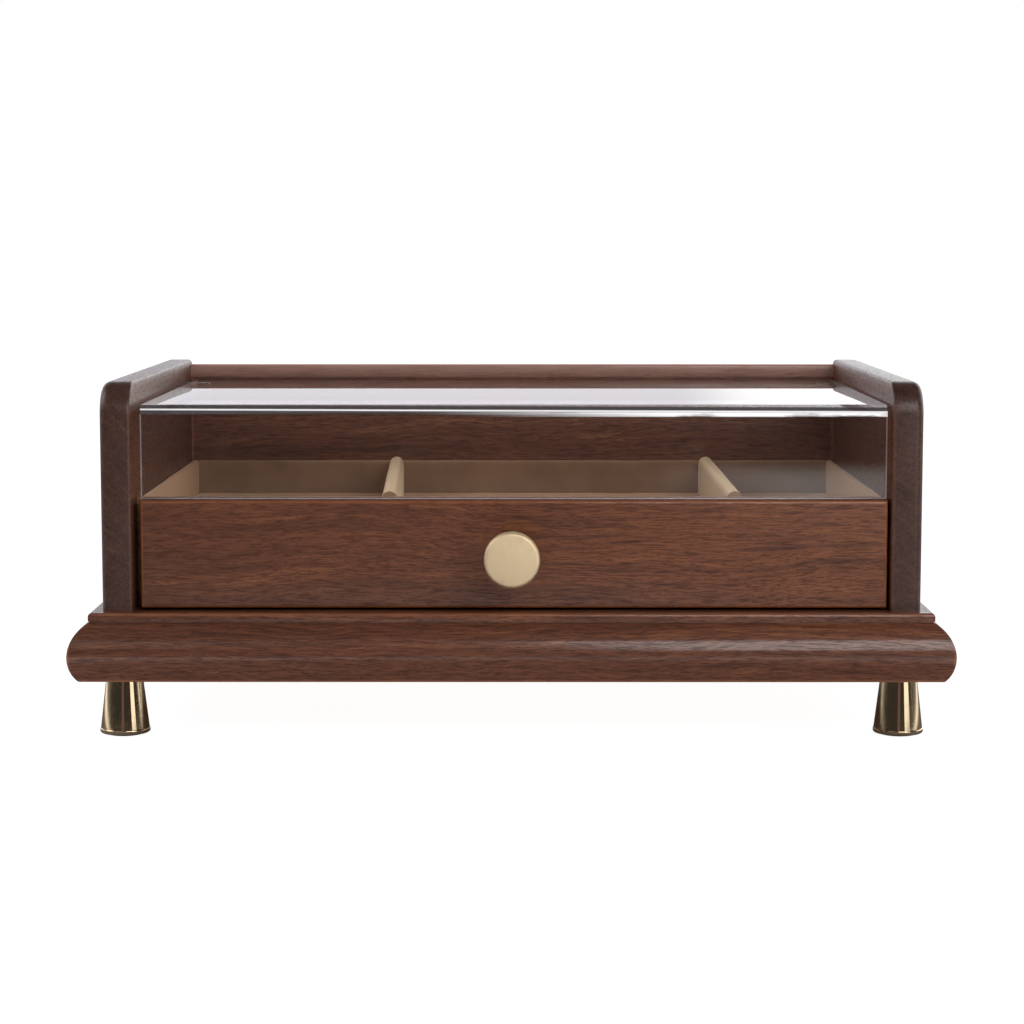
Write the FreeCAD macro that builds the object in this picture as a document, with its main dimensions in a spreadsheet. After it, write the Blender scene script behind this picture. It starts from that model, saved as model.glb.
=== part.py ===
import FreeCAD, Part
import os
import re
import Sketcher

# Wooden jewelry box: a walnut case on a mitred base moulding with four brass feet, a bent clear
# lid on two pins over a lined tray, and a shallow drawer with a round knob below the tray.
# Millimetres. +Z is up and the drawer faces -Y. The origin is on the floor, under the middle of the
# whole box with its knob, so every piece is drawn about the case's own middle and moved by frame_shift.

Vector = FreeCAD.Vector

# Driving sizes
SIZES = (
    # Base frame
    ("base_width", 300.0),
    ("base_depth", 196.0),
    ("base_height", 23.1),
    ("overhang", 10.5),
    ("moulding_width", 27.0),
    ("lip_projection", 4.1),
    ("lip_height", 2.7),
    ("lip_round", 1.2),
    ("quirk_depth", 0.4),
    ("quirk_height", 0.5),
    ("bulge_radius", 12.8),
    ("bulge_centre_drop", 14.4),
    ("bulge_foot_round", 1.4),
    ("base_board_thickness", 6.0),
    ("base_board_rebate", 5.0),
    # Feet
    ("foot_height", 20.0),
    ("foot_inset", 17.0),
    ("foot_top_diameter", 12.4),
    ("foot_base_diameter", 17.2),
    ("foot_rim_height", 1.6),
    ("foot_pad_diameter", 13.0),
    ("foot_pad_thickness", 1.5),
    ("foot_pad_proud", 0.5),
    ("foot_bolt_diameter", 5.0),
    ("foot_bolt_in_foot", 8.0),
    ("foot_bolt_in_base", 12.0),
    # Case panels
    ("panel_thickness", 10.5),
    ("panel_height", 77.9),
    ("panel_corner_radius", 11.0),
    ("panel_outer_round", 3.0),
    ("inner_arris_bevel", 0.8),
    ("arris_round", 1.0),
    ("back_thickness", 8.5),
    ("back_reveal", 2.0),
    ("back_top_round", 6.0),
    ("dowel_diameter", 6.0),
    ("dowel_length", 20.0),
    ("side_dowel_place", 60.0),
    ("back_dowel_place", 80.0),
    # Lid and its pins
    ("lid_drop", 7.7),
    ("lid_thickness", 3.0),
    ("lid_bend_radius", 4.0),
    ("lid_bevel", 1.2),
    ("lid_gap_left", 3.1),
    ("lid_gap_right", 1.7),
    ("lid_gap_back", 0.6),
    ("front_setback", 2.5),
    ("skirt_gap", 0.6),
    ("pin_diameter", 1.6),
    ("pin_play", 0.1),
    ("pin_edge_distance", 3.0),
    ("pin_in_panel", 5.0),
    ("pin_in_lid", 5.0),
    # Lined tray
    ("tray_depth", 13.0),
    ("tray_pad_thickness", 2.0),
    ("tray_shelf_thickness", 3.0),
    ("tray_rim_drop", 0.4),
    ("tray_front_board_thickness", 4.0),
    ("lining_thickness", 3.0),
    ("lining_top_round", 2.4),
    ("divider_thickness", 5.6),
    ("divider_rise", 1.6),
    ("left_divider_place", 46.4),
    ("right_divider_place", 77.5),
    ("cleat_thickness", 4.5),
    # Drawer
    ("drawer_front_height", 36.9),
    ("drawer_front_thickness", 12.0),
    ("drawer_gap_left", 2.6),
    ("drawer_gap_right", 1.0),
    ("drawer_gap_bottom", 0.9),
    ("drawer_gap_back", 0.5),
    ("drawer_side_play", 0.4),
    ("drawer_running_gap", 0.3),
    ("drawer_head_gap", 0.4),
    ("drawer_board_thickness", 6.0),
    ("drawer_bottom_thickness", 2.5),
    ("drawer_bottom_lift", 0.5),
    ("drawer_pad_thickness", 1.5),
    ("glide_thickness", 0.8),
    ("stop_strip_width", 8.0),
    ("stop_strip_thickness", 1.5),
    ("bumper_diameter", 8.0),
    ("bumper_thickness", 1.5),
    ("bumper_place", 90.0),
    ("bumper_height", 9.0),
    # Knob and its screw
    ("knob_diameter", 18.7),
    ("knob_projection", 20.0),
    ("knob_disc_thickness", 4.6),
    ("knob_edge_round", 1.1),
    ("knob_neck_diameter", 7.0),
    ("knob_seat_diameter", 11.0),
    ("knob_seat_thickness", 1.6),
    ("knob_flare", 3.0),
    ("knob_rise", 18.8),
    ("knob_shift", 0.6),
    ("knob_screw_diameter", 4.0),
    ("knob_screw_play", 0.2),
    ("knob_screw_reach", 8.0),
    ("screw_head_diameter", 7.6),
    ("screw_head_height", 2.4),
    ("counterbore_diameter", 8.6),
    ("counterbore_depth", 3.0),
)

# Sizes and levels that follow from the driving ones
DERIVED = (
    ("case_side", "base_width / 2 - overhang"),
    ("case_front", "base_depth / 2 - overhang"),
    ("inner_side", "case_side - panel_thickness"),
    ("base_top", "foot_height + base_height"),
    ("case_top", "base_top + panel_height"),
    ("back_outside", "case_front - back_reveal"),
    ("back_inside", "back_outside - back_thickness"),
    ("front_face", "case_front - front_setback"),
    ("bulge_top_level", "base_height - lip_height - quirk_height"),
    ("bulge_centre_height", "base_height - bulge_centre_drop"),
    ("bulge_top_rise", "bulge_top_level - bulge_centre_height"),
    ("bulge_middle", "overhang - bulge_radius"),
    ("bulge_top_reach", "bulge_middle + sqrt(bulge_radius ^ 2 - bulge_top_rise ^ 2)"),
    ("bulge_foot_reach", "bulge_middle + sqrt(bulge_radius ^ 2 - bulge_centre_height ^ 2)"),
    ("drawer_bottom_level", "base_top + drawer_gap_bottom"),
    ("drawer_top_level", "drawer_bottom_level + drawer_front_height"),
    ("drawer_front_back", "front_face - drawer_front_thickness"),
    ("lid_top", "case_top - lid_drop"),
    ("skirt_bottom", "drawer_top_level + skirt_gap"),
    ("lid_left", "inner_side - lid_gap_left"),
    ("lid_right", "inner_side - lid_gap_right"),
    ("lid_back", "back_inside - lid_gap_back"),
    ("pin_line", "lid_back - pin_edge_distance"),
    ("pin_level", "lid_top - lid_thickness / 2"),
    ("rim_level", "drawer_top_level - tray_rim_drop"),
    ("tray_pad_top", "rim_level - tray_depth"),
    ("shelf_top", "tray_pad_top - tray_pad_thickness"),
    ("shelf_bottom", "shelf_top - tray_shelf_thickness"),
    ("tray_front", "drawer_front_back - drawer_gap_back"),
    ("tray_lining_front", "tray_front - tray_front_board_thickness"),
    ("tray_inner_front", "tray_lining_front - lining_thickness"),
    ("tray_inner_back", "back_inside - lining_thickness"),
    ("tray_inner_side", "inner_side - lining_thickness"),
    ("cleat_face", "inner_side - cleat_thickness"),
    ("drawer_side_face", "cleat_face - drawer_side_play"),
    ("drawer_inner_side", "drawer_side_face - drawer_board_thickness"),
    ("drawer_foot_level", "base_top + glide_thickness + drawer_running_gap"),
    ("stop_bottom", "shelf_bottom - stop_strip_thickness"),
    ("drawer_side_top", "stop_bottom - drawer_head_gap"),
    ("drawer_back_top", "shelf_bottom - drawer_head_gap"),
    ("drawer_back_face", "back_inside - bumper_thickness - drawer_running_gap"),
    ("drawer_back_inside", "drawer_back_face - drawer_board_thickness"),
    ("drawer_floor", "drawer_foot_level + drawer_bottom_lift + drawer_bottom_thickness"),
    ("knob_place", "(drawer_gap_left - drawer_gap_right) / 2 - knob_shift"),
    ("knob_level", "drawer_bottom_level + knob_rise"),
    ("knob_disc_back", "knob_projection - knob_disc_thickness"),
    ("knob_edge_facet", "knob_edge_round * (1 - sqrt(2) / 2)"),
    ("foot_side_place", "base_width / 2 - foot_inset"),
    ("foot_front_place", "base_depth / 2 - foot_inset"),
    ("frame_shift", "(front_face + knob_projection - base_depth / 2) / 2"),
)

doc = FreeCAD.newDocument("jewelry_box")
sheet = doc.addObject("Spreadsheet::Sheet", "Sizes")
for row, (alias, size) in enumerate(SIZES, start=1):
    sheet.set(f"A{row}", alias)
    sheet.set(f"B{row}", str(size))
    sheet.setAlias(f"B{row}", alias)
for row, (alias, formula) in enumerate(DERIVED, start=len(SIZES) + 1):
    sheet.set(f"A{row}", alias)
    sheet.set(f"B{row}", "=" + formula)
    sheet.setAlias(f"B{row}", alias)
scratch = doc.addObject("Spreadsheet::Sheet", "Scratch")
doc.recompute()

parts = []


# Formulas and placing

def bound(formula):
    """The formula with each size read from the sheet."""
    return re.sub(r"\b([a-z][a-z_]+)\b(?!\()", r"Sizes.\1", formula)


def value(formula):
    """The number that a formula gives with the present sizes."""
    scratch.set("A1", "=" + bound(formula))
    scratch.recompute()
    return float(scratch.get("A1"))


def tie(thing, path, formula):
    thing.setExpression(path, bound(formula))


def place(thing, x="0", y="0", z="0"):
    """Puts a piece at a point that is given from under the middle of the case."""
    for axis, formula in (("x", x), ("y", f"{y} + frame_shift"), ("z", z)):
        if formula != "0":
            tie(thing, "Placement.Base." + axis, formula)


def keep(thing, label):
    thing.Label = label
    parts.append(thing)
    return thing


# Boards and rods

def board(label, x, y, z):
    """A plain board; x, y and z each give the formulas of its low and high faces."""
    box = doc.addObject("Part::Box", label)
    for path, (low, high) in (("Length", x), ("Width", y), ("Height", z)):
        tie(box, path, f"({high}) - ({low})")
    place(box, x[0], y[0], z[0])
    return keep(box, label)


def rod(name, diameter, length, x, y, z, turn=None):
    """A cylinder that starts at a point and runs up, or along the axis that the turn gives."""
    cylinder = doc.addObject("Part::Cylinder", name)
    tie(cylinder, "Radius", f"({diameter}) / 2")
    tie(cylinder, "Height", length)
    if turn:
        cylinder.Placement = FreeCAD.Placement(Vector(0, 0, 0), turn)
    place(cylinder, x, y, z)
    return cylinder


def group(label, things):
    """Separate solids that share one node."""
    compound = doc.addObject("Part::Compound", label)
    compound.Links = things
    return keep(compound, label)


# Sketches and features of a body

def new_body(label):
    return keep(doc.addObject("PartDesign::Body", label), label)


def new_sketch(body, name, plane, offset="0"):
    """A sketch on one of the body's own origin planes, or parallel to it."""
    sketch = body.newObject("Sketcher::SketchObject", name)
    origin_plane = next(p for p in body.Origin.OriginFeatures if p.Role == plane)
    sketch.AttachmentSupport = [(origin_plane, "")]
    sketch.MapMode = "FlatFace"
    if offset != "0":
        tie(sketch, "AttachmentOffset.Base.z", offset)
    return sketch


def fix_coordinate(sketch, kind, axis, piece, end, formula):
    """Ties one coordinate of a point to its formula."""
    if formula == "0":
        sketch.addConstraint(Sketcher.Constraint("PointOnObject", piece, end, axis))
        return
    index = sketch.addConstraint(Sketcher.Constraint(kind, -1, 1, piece, end, value(formula)))
    tie(sketch, f"Constraints[{index}]", formula)


def fix_point(sketch, piece, end, point):
    vertical_axis = -2
    horizontal_axis = -1
    fix_coordinate(sketch, "DistanceX", vertical_axis, piece, end, point[0])
    fix_coordinate(sketch, "DistanceY", horizontal_axis, piece, end, point[1])


def draw_outline(sketch, corners, arcs=None):
    """A closed outline; arcs gives, for the corner that an arc leaves, its centre and turn."""
    arcs = arcs or {}
    points = [Vector(value(x), value(y), 0) for x, y in corners]
    pieces = []
    for index, start in enumerate(points):
        end = points[(index + 1) % len(points)]
        if index in arcs:
            centre_x, centre_y, turn = arcs[index]
            centre = Vector(value(centre_x), value(centre_y), 0)
            first, last = (start, end) if turn == "left" else (end, start)
            circle = Part.Circle(centre, Vector(0, 0, 1), (start - centre).Length)
            curve = Part.ArcOfCircle(circle, circle.parameter(first), circle.parameter(last))
            ends = (1, 2) if turn == "left" else (2, 1)
        else:
            curve = Part.LineSegment(start, end)
            ends = (1, 2)
        pieces.append((sketch.addGeometry(curve, False), ends))
    for index, (piece, ends) in enumerate(pieces):
        before, before_ends = pieces[index - 1]
        join = Sketcher.Constraint("Coincident", before, before_ends[1], piece, ends[0])
        sketch.addConstraint(join)
        fix_point(sketch, piece, ends[0], corners[index])
    for index, (centre_x, centre_y, turn) in arcs.items():
        chord = points[(index + 1) % len(points)] - points[index]
        if abs(chord.x) > abs(chord.y):
            fix_coordinate(sketch, "DistanceY", -1, pieces[index][0], 3, centre_y)
        else:
            fix_coordinate(sketch, "DistanceX", -2, pieces[index][0], 3, centre_x)


def draw_circle(sketch, x, y, diameter):
    centre = Vector(value(x), value(y), 0)
    circle = Part.Circle(centre, Vector(0, 0, 1), value(diameter) / 2)
    piece = sketch.addGeometry(circle, False)
    index = sketch.addConstraint(Sketcher.Constraint("Diameter", piece, value(diameter)))
    tie(sketch, f"Constraints[{index}]", diameter)
    fix_point(sketch, piece, 3, (x, y))


def pad(body, sketch, length, side="One side", flip=False):
    feature = body.newObject("PartDesign::Pad", sketch.Name + "_pad")
    feature.Profile = sketch
    tie(feature, "Length", length)
    feature.SideType = side
    feature.Reversed = flip
    doc.recompute()
    return feature


def pocket(body, sketch, depth=None, flip=False):
    """Cuts away from the sketch's normal, or along it where flipped; no depth cuts all through."""
    before = body.Shape.Volume
    feature = body.newObject("PartDesign::Pocket", sketch.Name + "_pocket")
    feature.Profile = sketch
    if depth:
        tie(feature, "Length", depth)
    else:
        feature.Type = "ThroughAll"
    feature.Reversed = flip
    doc.recompute()
    if body.Shape.Volume >= before:
        raise RuntimeError(f"{sketch.Name} cuts nothing")
    return feature


def revolve(body, sketch):
    feature = body.newObject("PartDesign::Revolution", sketch.Name + "_turning")
    feature.Profile = sketch
    feature.ReferenceAxis = (sketch, ["V_Axis"])
    feature.Angle = 360
    doc.recompute()
    return feature


def on(coordinate, formula):
    """A test for edges that lie wholly at one X, Y or Z of the body."""
    level = value(formula)

    def test(edge):
        low = getattr(edge.BoundBox, coordinate + "Min")
        high = getattr(edge.BoundBox, coordinate + "Max")
        return abs(low - level) < 1e-4 and abs(high - level) < 1e-4
    return test


def off(coordinate, formula):
    is_on = on(coordinate, formula)
    return lambda edge: not is_on(edge)


def soften(body, name, kind, size, *tests):
    """Rounds or bevels every edge of the body that passes all the tests."""
    tip = body.Tip
    names = []
    for index, edge in enumerate(tip.Shape.Edges, start=1):
        if all(test(edge) for test in tests):
            names.append(f"Edge{index}")
    if not names:
        raise RuntimeError(f"{name} finds no edge")
    feature = body.newObject("PartDesign::" + kind, name)
    feature.Base = (tip, names)
    tie(feature, "Radius" if kind == "Fillet" else "Size", size)
    doc.recompute()
    return feature


def block(label, x, y, z):
    """A body padded up from a rectangle; x, y and z give its low and high faces."""
    body = new_body(label)
    sketch = new_sketch(body, label + "_plan", "XY_Plane")
    draw_outline(sketch, [(x[0], y[0]), (x[1], y[0]), (x[1], y[1]), (x[0], y[1])])
    pad(body, sketch, f"({z[1]}) - ({z[0]})")
    place(body, z=z[0])
    return body


# Base frame: four mouldings mitred at the corners, drawn as the front one and turned about Z

def moulding(label, length, case_face, quarter_turns, dowel_line, dowel_places):
    body = new_body(label)
    outer = f"-({case_face} + overhang)"
    inner = f"-({case_face} + overhang - moulding_width)"
    rebate = f"{inner} - base_board_rebate"
    lip = f"-({case_face} + lip_projection)"
    quirk = f"-({case_face} + lip_projection - quirk_depth)"
    corners = [
        (inner, "0"),
        (inner, "base_height - base_board_thickness"),
        (rebate, "base_height - base_board_thickness"),
        (rebate, "base_height"),
        (lip, "base_height"),
        (lip, "base_height - lip_height"),
        (quirk, "base_height - lip_height"),
        (quirk, "bulge_top_level"),
        (f"-({case_face} + bulge_top_reach)", "bulge_top_level"),
        (f"-({case_face} + bulge_foot_reach)", "0"),
    ]
    bulge = (f"-({case_face} + bulge_middle)", "bulge_centre_height", "left")
    profile = new_sketch(body, label + "_profile", "YZ_Plane")
    draw_outline(profile, corners, {8: bulge})
    pad(body, profile, length, side="Symmetric")
    soften(body, label + "_lip_round", "Fillet", "lip_round", on("Y", lip), on("Z", "base_height"))
    soften(body, label + "_foot_round", "Fillet", "bulge_foot_round",
           on("Y", f"-({case_face} + bulge_foot_reach)"), on("Z", "0"))
    mitres = new_sketch(body, label + "_mitres", "XY_Plane")
    for end in (f"{length} / 2", f"-{length} / 2"):
        cut_back = "- moulding_width" if end[0] != "-" else "+ moulding_width"
        draw_outline(mitres, [(end, outer), (end, inner), (f"{end} {cut_back}", inner)])
    pocket(body, mitres, flip=True)
    bolt_holes = new_sketch(body, label + "_bolt_holes", "XY_Plane")
    for side in ("", "-"):
        draw_circle(bolt_holes, f"{side}({length} / 2 - foot_inset)",
                    f"{outer} + foot_inset", "foot_bolt_diameter")
    pocket(body, bolt_holes, "foot_bolt_in_base", flip=True)
    if dowel_places:
        dowel_holes = new_sketch(body, label + "_dowel_holes", "XY_Plane", "base_height")
        for spot in dowel_places:
            draw_circle(dowel_holes, spot, f"-({dowel_line})", "dowel_diameter")
        pocket(body, dowel_holes, "dowel_length / 2")
    turn = FreeCAD.Rotation(Vector(0, 0, 1), 90 * quarter_turns)
    body.Placement = FreeCAD.Placement(Vector(0, 0, 0), turn)
    place(body, z="foot_height")
    return body


SIDE_DOWELS = ("-side_dowel_place", "side_dowel_place")
BACK_DOWELS = ("-back_dowel_place", "back_dowel_place")
SIDE_DOWEL_LINE = "case_side - panel_thickness / 2"
BACK_DOWEL_LINE = "back_inside + back_thickness / 2"

moulding("front_moulding", "base_width", "case_front", 0, "", ())
moulding("right_moulding", "base_depth", "case_side", 1, SIDE_DOWEL_LINE, SIDE_DOWELS)
moulding("back_moulding", "base_width", "case_front", 2, BACK_DOWEL_LINE, BACK_DOWELS)
moulding("left_moulding", "base_depth", "case_side", 3, SIDE_DOWEL_LINE, SIDE_DOWELS)

board_side = "base_width / 2 - moulding_width + base_board_rebate"
board_front = "base_depth / 2 - moulding_width + base_board_rebate"
board("base_board", (f"-({board_side})", board_side), (f"-({board_front})", board_front),
      ("base_top - base_board_thickness", "base_top"))


# Feet: turned brass cones, each with a felt pad below and a bolt into the moulding above

def foot(name, x, y):
    body = doc.addObject("PartDesign::Body", name)
    profile = new_sketch(body, name + "_profile", "XZ_Plane")
    pad_seat = "foot_pad_thickness"
    bolt_end = "foot_height - foot_bolt_in_foot"
    draw_outline(profile, [
        ("0", pad_seat),
        ("foot_pad_diameter / 2", pad_seat),
        ("foot_pad_diameter / 2", "foot_pad_proud"),
        ("foot_base_diameter / 2", "foot_pad_proud"),
        ("foot_base_diameter / 2", "foot_pad_proud + foot_rim_height"),
        ("foot_top_diameter / 2", "foot_height"),
        ("foot_bolt_diameter / 2", "foot_height"),
        ("foot_bolt_diameter / 2", bolt_end),
        ("0", bolt_end),
    ])
    revolve(body, profile)
    place(body, x, y)
    return body


foot_pads = []
foot_bolts = []
for row, along in (("front", "-foot_front_place"), ("rear", "foot_front_place")):
    feet = []
    for side, across in (("left", "-foot_side_place"), ("right", "foot_side_place")):
        name = f"{row}_{side}_foot"
        feet.append(foot(name, across, along))
        foot_pads.append(rod(name + "_pad", "foot_pad_diameter", "foot_pad_thickness",
                             across, along, "0"))
        foot_bolts.append(rod(name + "_bolt", "foot_bolt_diameter",
                              "foot_bolt_in_foot + foot_bolt_in_base",
                              across, along, "foot_height - foot_bolt_in_foot"))
    group(row + "_feet", feet)
group("foot_pads", foot_pads)
group("foot_bolts", foot_bolts)


# Case: two side panels with rounded corners, a back panel between them, and their dowels

def side_panel(label, side):
    """The left panel has side -1 and the right one +1; its outer face is the sketch's plane."""
    sign = "" if side > 0 else "-"
    inward = "-" if side > 0 else ""
    body = new_body(label)
    profile = new_sketch(body, label + "_profile", "YZ_Plane")
    shoulder = "panel_height - panel_corner_radius"
    bend = "case_front - panel_corner_radius"
    draw_outline(profile, [
        ("-case_front", "0"),
        ("case_front", "0"),
        ("case_front", shoulder),
        (bend, "panel_height"),
        (f"-({bend})", "panel_height"),
        ("-case_front", shoulder),
    ], {2: (bend, shoulder, "left"), 4: (f"-({bend})", shoulder, "left")})
    pad(body, profile, "panel_thickness", flip=side > 0)
    soften(body, label + "_outer_round", "Fillet", "panel_outer_round",
           lambda edge: abs(edge.BoundBox.XMin) + abs(edge.BoundBox.XMax) < 1e-4,
           off("Z", "0"))
    inner_face = inward + "panel_thickness"
    soften(body, label + "_arris", "Chamfer", "inner_arris_bevel", on("X", inner_face), off("Z", "0"))
    dowel_holes = new_sketch(body, label + "_dowel_holes", "XY_Plane")
    for spot in SIDE_DOWELS:
        draw_circle(dowel_holes, inner_face + " / 2", spot, "dowel_diameter")
    pocket(body, dowel_holes, "dowel_length / 2", flip=True)
    pin_hole = new_sketch(body, label + "_pin_hole", "YZ_Plane", inner_face)
    draw_circle(pin_hole, "pin_line", "pin_level - base_top", "pin_diameter")
    pocket(body, pin_hole, "pin_in_panel", flip=side > 0)
    place(body, sign + "case_side", "0", "base_top")
    return body


side_panel("left_side_panel", -1)
side_panel("right_side_panel", 1)

back_panel = new_body("back_panel")
back_profile = new_sketch(back_panel, "back_panel_profile", "YZ_Plane")
back_height = "panel_height - back_reveal"
draw_outline(back_profile, [
    ("back_inside", "0"),
    ("back_outside", "0"),
    ("back_outside", f"{back_height} - back_top_round"),
    ("back_outside - back_top_round", back_height),
    ("back_inside", back_height),
], {2: ("back_outside - back_top_round", f"{back_height} - back_top_round", "left")})
pad(back_panel, back_profile, "2 * inner_side", side="Symmetric")
soften(back_panel, "back_panel_arris", "Fillet", "arris_round",
       on("Y", "back_inside"), on("Z", back_height))
back_holes = new_sketch(back_panel, "back_panel_dowel_holes", "XY_Plane")
for spot in BACK_DOWELS:
    draw_circle(back_holes, spot, BACK_DOWEL_LINE, "dowel_diameter")
pocket(back_panel, back_holes, "dowel_length / 2", flip=True)
place(back_panel, z="base_top")

dowel_centres = [(side + f"({SIDE_DOWEL_LINE})", spot) for side in ("-", "") for spot in SIDE_DOWELS]
dowel_centres += [(spot, BACK_DOWEL_LINE) for spot in BACK_DOWELS]
group("panel_dowels", [
    rod(f"dowel_{index}", "dowel_diameter", "dowel_length", x, y, "base_top - dowel_length / 2")
    for index, (x, y) in enumerate(dowel_centres)
])


# Tray: a shelf on two cleats, a front board, and velvet linings, pad and dividers

for label, low, high in (("left_tray_cleat", "-inner_side", "-cleat_face"),
                         ("right_tray_cleat", "cleat_face", "inner_side")):
    board(label, (low, high), ("-tray_front", "back_inside"), ("base_top", "shelf_bottom"))
board("tray_shelf", ("-inner_side", "inner_side"), ("-tray_front", "back_inside"),
      ("shelf_bottom", "shelf_top"))
board("tray_front_board", ("-inner_side", "inner_side"), ("-tray_front", "-tray_lining_front"),
      ("shelf_top", "rim_level"))
board("tray_floor_pad", ("-tray_inner_side", "tray_inner_side"),
      ("-tray_inner_front", "tray_inner_back"), ("shelf_top", "tray_pad_top"))

rim_height = "rim_level - shelf_top"
for label, low, high, inner_face in (
        ("tray_left_lining", "-inner_side", "-tray_inner_side", "-tray_inner_side"),
        ("tray_right_lining", "tray_inner_side", "inner_side", "tray_inner_side")):
    lining = block(label, (low, high), ("-tray_lining_front", "back_inside"),
                   ("shelf_top", "rim_level"))
    soften(lining, label + "_roll", "Fillet", "lining_top_round",
           on("X", inner_face), on("Z", rim_height))
for label, low, high, inner_face in (
        ("tray_front_lining", "-tray_lining_front", "-tray_inner_front", "-tray_inner_front"),
        ("tray_back_lining", "tray_inner_back", "back_inside", "tray_inner_back")):
    lining = block(label, ("-tray_inner_side", "tray_inner_side"), (low, high),
                   ("shelf_top", "rim_level"))
    soften(lining, label + "_roll", "Fillet", "lining_top_round",
           on("Y", inner_face), on("Z", rim_height))

divider_height = "tray_depth + divider_rise"
for label, middle in (("left_tray_divider", "-left_divider_place"),
                      ("right_tray_divider", "right_divider_place")):
    divider = new_body(label)
    section = new_sketch(divider, label + "_section", "XZ_Plane", "-tray_inner_back")
    shoulder = f"{divider_height} - divider_thickness / 2"
    draw_outline(section, [
        ("-divider_thickness / 2", "0"),
        ("divider_thickness / 2", "0"),
        ("divider_thickness / 2", shoulder),
        ("-divider_thickness / 2", shoulder),
    ], {2: ("0", shoulder, "left")})
    pad(divider, section, "tray_inner_back + tray_inner_front")
    place(divider, middle, "0", "tray_pad_top")


# Lid: one clear sheet bent down at the front, bored in its two side edges for the pins

lid = new_body("lid_cover")
lid_profile = new_sketch(lid, "lid_profile", "YZ_Plane", "-lid_left")
bend_line = "-front_face + lid_bend_radius"
bend_level = "lid_top - lid_bend_radius"
draw_outline(lid_profile, [
    ("-front_face", "skirt_bottom"),
    ("-front_face + lid_thickness", "skirt_bottom"),
    ("-front_face + lid_thickness", bend_level),
    (bend_line, "lid_top - lid_thickness"),
    ("lid_back", "lid_top - lid_thickness"),
    ("lid_back", "lid_top"),
    (bend_line, "lid_top"),
    ("-front_face", bend_level),
], {2: (bend_line, bend_level, "right"), 6: (bend_line, bend_level, "left")})
pad(lid, lid_profile, "lid_left + lid_right")
soften(lid, "lid_skirt_bevel", "Chamfer", "lid_bevel", on("Y", "-front_face"),
       off("Z", bend_level))
left_edge_hole = new_sketch(lid, "lid_left_hole", "YZ_Plane", "-lid_left")
draw_circle(left_edge_hole, "pin_line", "pin_level", "pin_diameter + 2 * pin_play")
pocket(lid, left_edge_hole, "pin_in_lid + pin_play", flip=True)
right_edge_hole = new_sketch(lid, "lid_right_hole", "YZ_Plane", "lid_right")
draw_circle(right_edge_hole, "pin_line", "pin_level", "pin_diameter + 2 * pin_play")
pocket(lid, right_edge_hole, "pin_in_lid + pin_play")
place(lid)

along_x = FreeCAD.Rotation(Vector(0, 1, 0), 90)
keep(rod("left_lid_pin", "pin_diameter", "pin_in_panel + lid_gap_left + pin_in_lid",
         "-inner_side - pin_in_panel", "pin_line", "pin_level", along_x), "left_lid_pin")
keep(rod("right_lid_pin", "pin_diameter", "pin_in_panel + lid_gap_right + pin_in_lid",
         "lid_right - pin_in_lid", "pin_line", "pin_level", along_x), "right_lid_pin")


# Drawer running gear fixed in the case

for label, low, high in (("left_drawer_glide", "-drawer_side_face", "-drawer_inner_side"),
                         ("right_drawer_glide", "drawer_inner_side", "drawer_side_face")):
    board(label, (low, high), ("-tray_front", "drawer_back_face"),
          ("base_top", "base_top + glide_thickness"))
board("drawer_stop_strip", ("-cleat_face", "cleat_face"),
      ("-tray_front", "-tray_front + stop_strip_width"), ("stop_bottom", "shelf_bottom"))
along_y = FreeCAD.Rotation(Vector(1, 0, 0), 90)
group("drawer_bumpers", [
    rod(name, "bumper_diameter", "bumper_thickness", spot, "back_inside",
        "base_top + bumper_height", along_y)
    for name, spot in (("left_bumper", "-bumper_place"), ("right_bumper", "bumper_place"))
])


# Drawer box

drawer_front = block("drawer_front",
                     ("-inner_side + drawer_gap_left", "inner_side - drawer_gap_right"),
                     ("-front_face", "-drawer_front_back"),
                     ("drawer_bottom_level", "drawer_top_level"))
soften(drawer_front, "drawer_front_arris", "Fillet", "arris_round", on("Y", "-front_face"))
screw_hole = new_sketch(drawer_front, "drawer_front_screw_hole", "XZ_Plane", "front_face")
draw_circle(screw_hole, "knob_place", "knob_rise",
            "knob_screw_diameter + 2 * knob_screw_play")
pocket(drawer_front, screw_hole)
counterbore = new_sketch(drawer_front, "drawer_front_counterbore", "XZ_Plane",
                         "drawer_front_back")
draw_circle(counterbore, "knob_place", "knob_rise", "counterbore_diameter")
pocket(drawer_front, counterbore, "counterbore_depth", flip=True)

for label, low, high in (("drawer_left_side", "-drawer_side_face", "-drawer_inner_side"),
                         ("drawer_right_side", "drawer_inner_side", "drawer_side_face")):
    board(label, (low, high), ("-drawer_front_back", "drawer_back_face"),
          ("drawer_foot_level", "drawer_side_top"))
board("drawer_back", ("-drawer_inner_side", "drawer_inner_side"),
      ("drawer_back_inside", "drawer_back_face"), ("drawer_foot_level", "drawer_back_top"))
board("drawer_bottom", ("-drawer_inner_side", "drawer_inner_side"),
      ("-drawer_front_back", "drawer_back_inside"),
      ("drawer_foot_level + drawer_bottom_lift", "drawer_floor"))
board("drawer_floor_pad", ("-drawer_inner_side", "drawer_inner_side"),
      ("-drawer_front_back", "drawer_back_inside"),
      ("drawer_floor", "drawer_floor + drawer_pad_thickness"))


# Knob and its screw, turned about Z and laid so that Z points out of the drawer front

def lay_on_front(body):
    body.Placement = FreeCAD.Placement(Vector(0, 0, 0), along_y)
    place(body, "knob_place", "-front_face", "knob_level")


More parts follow.
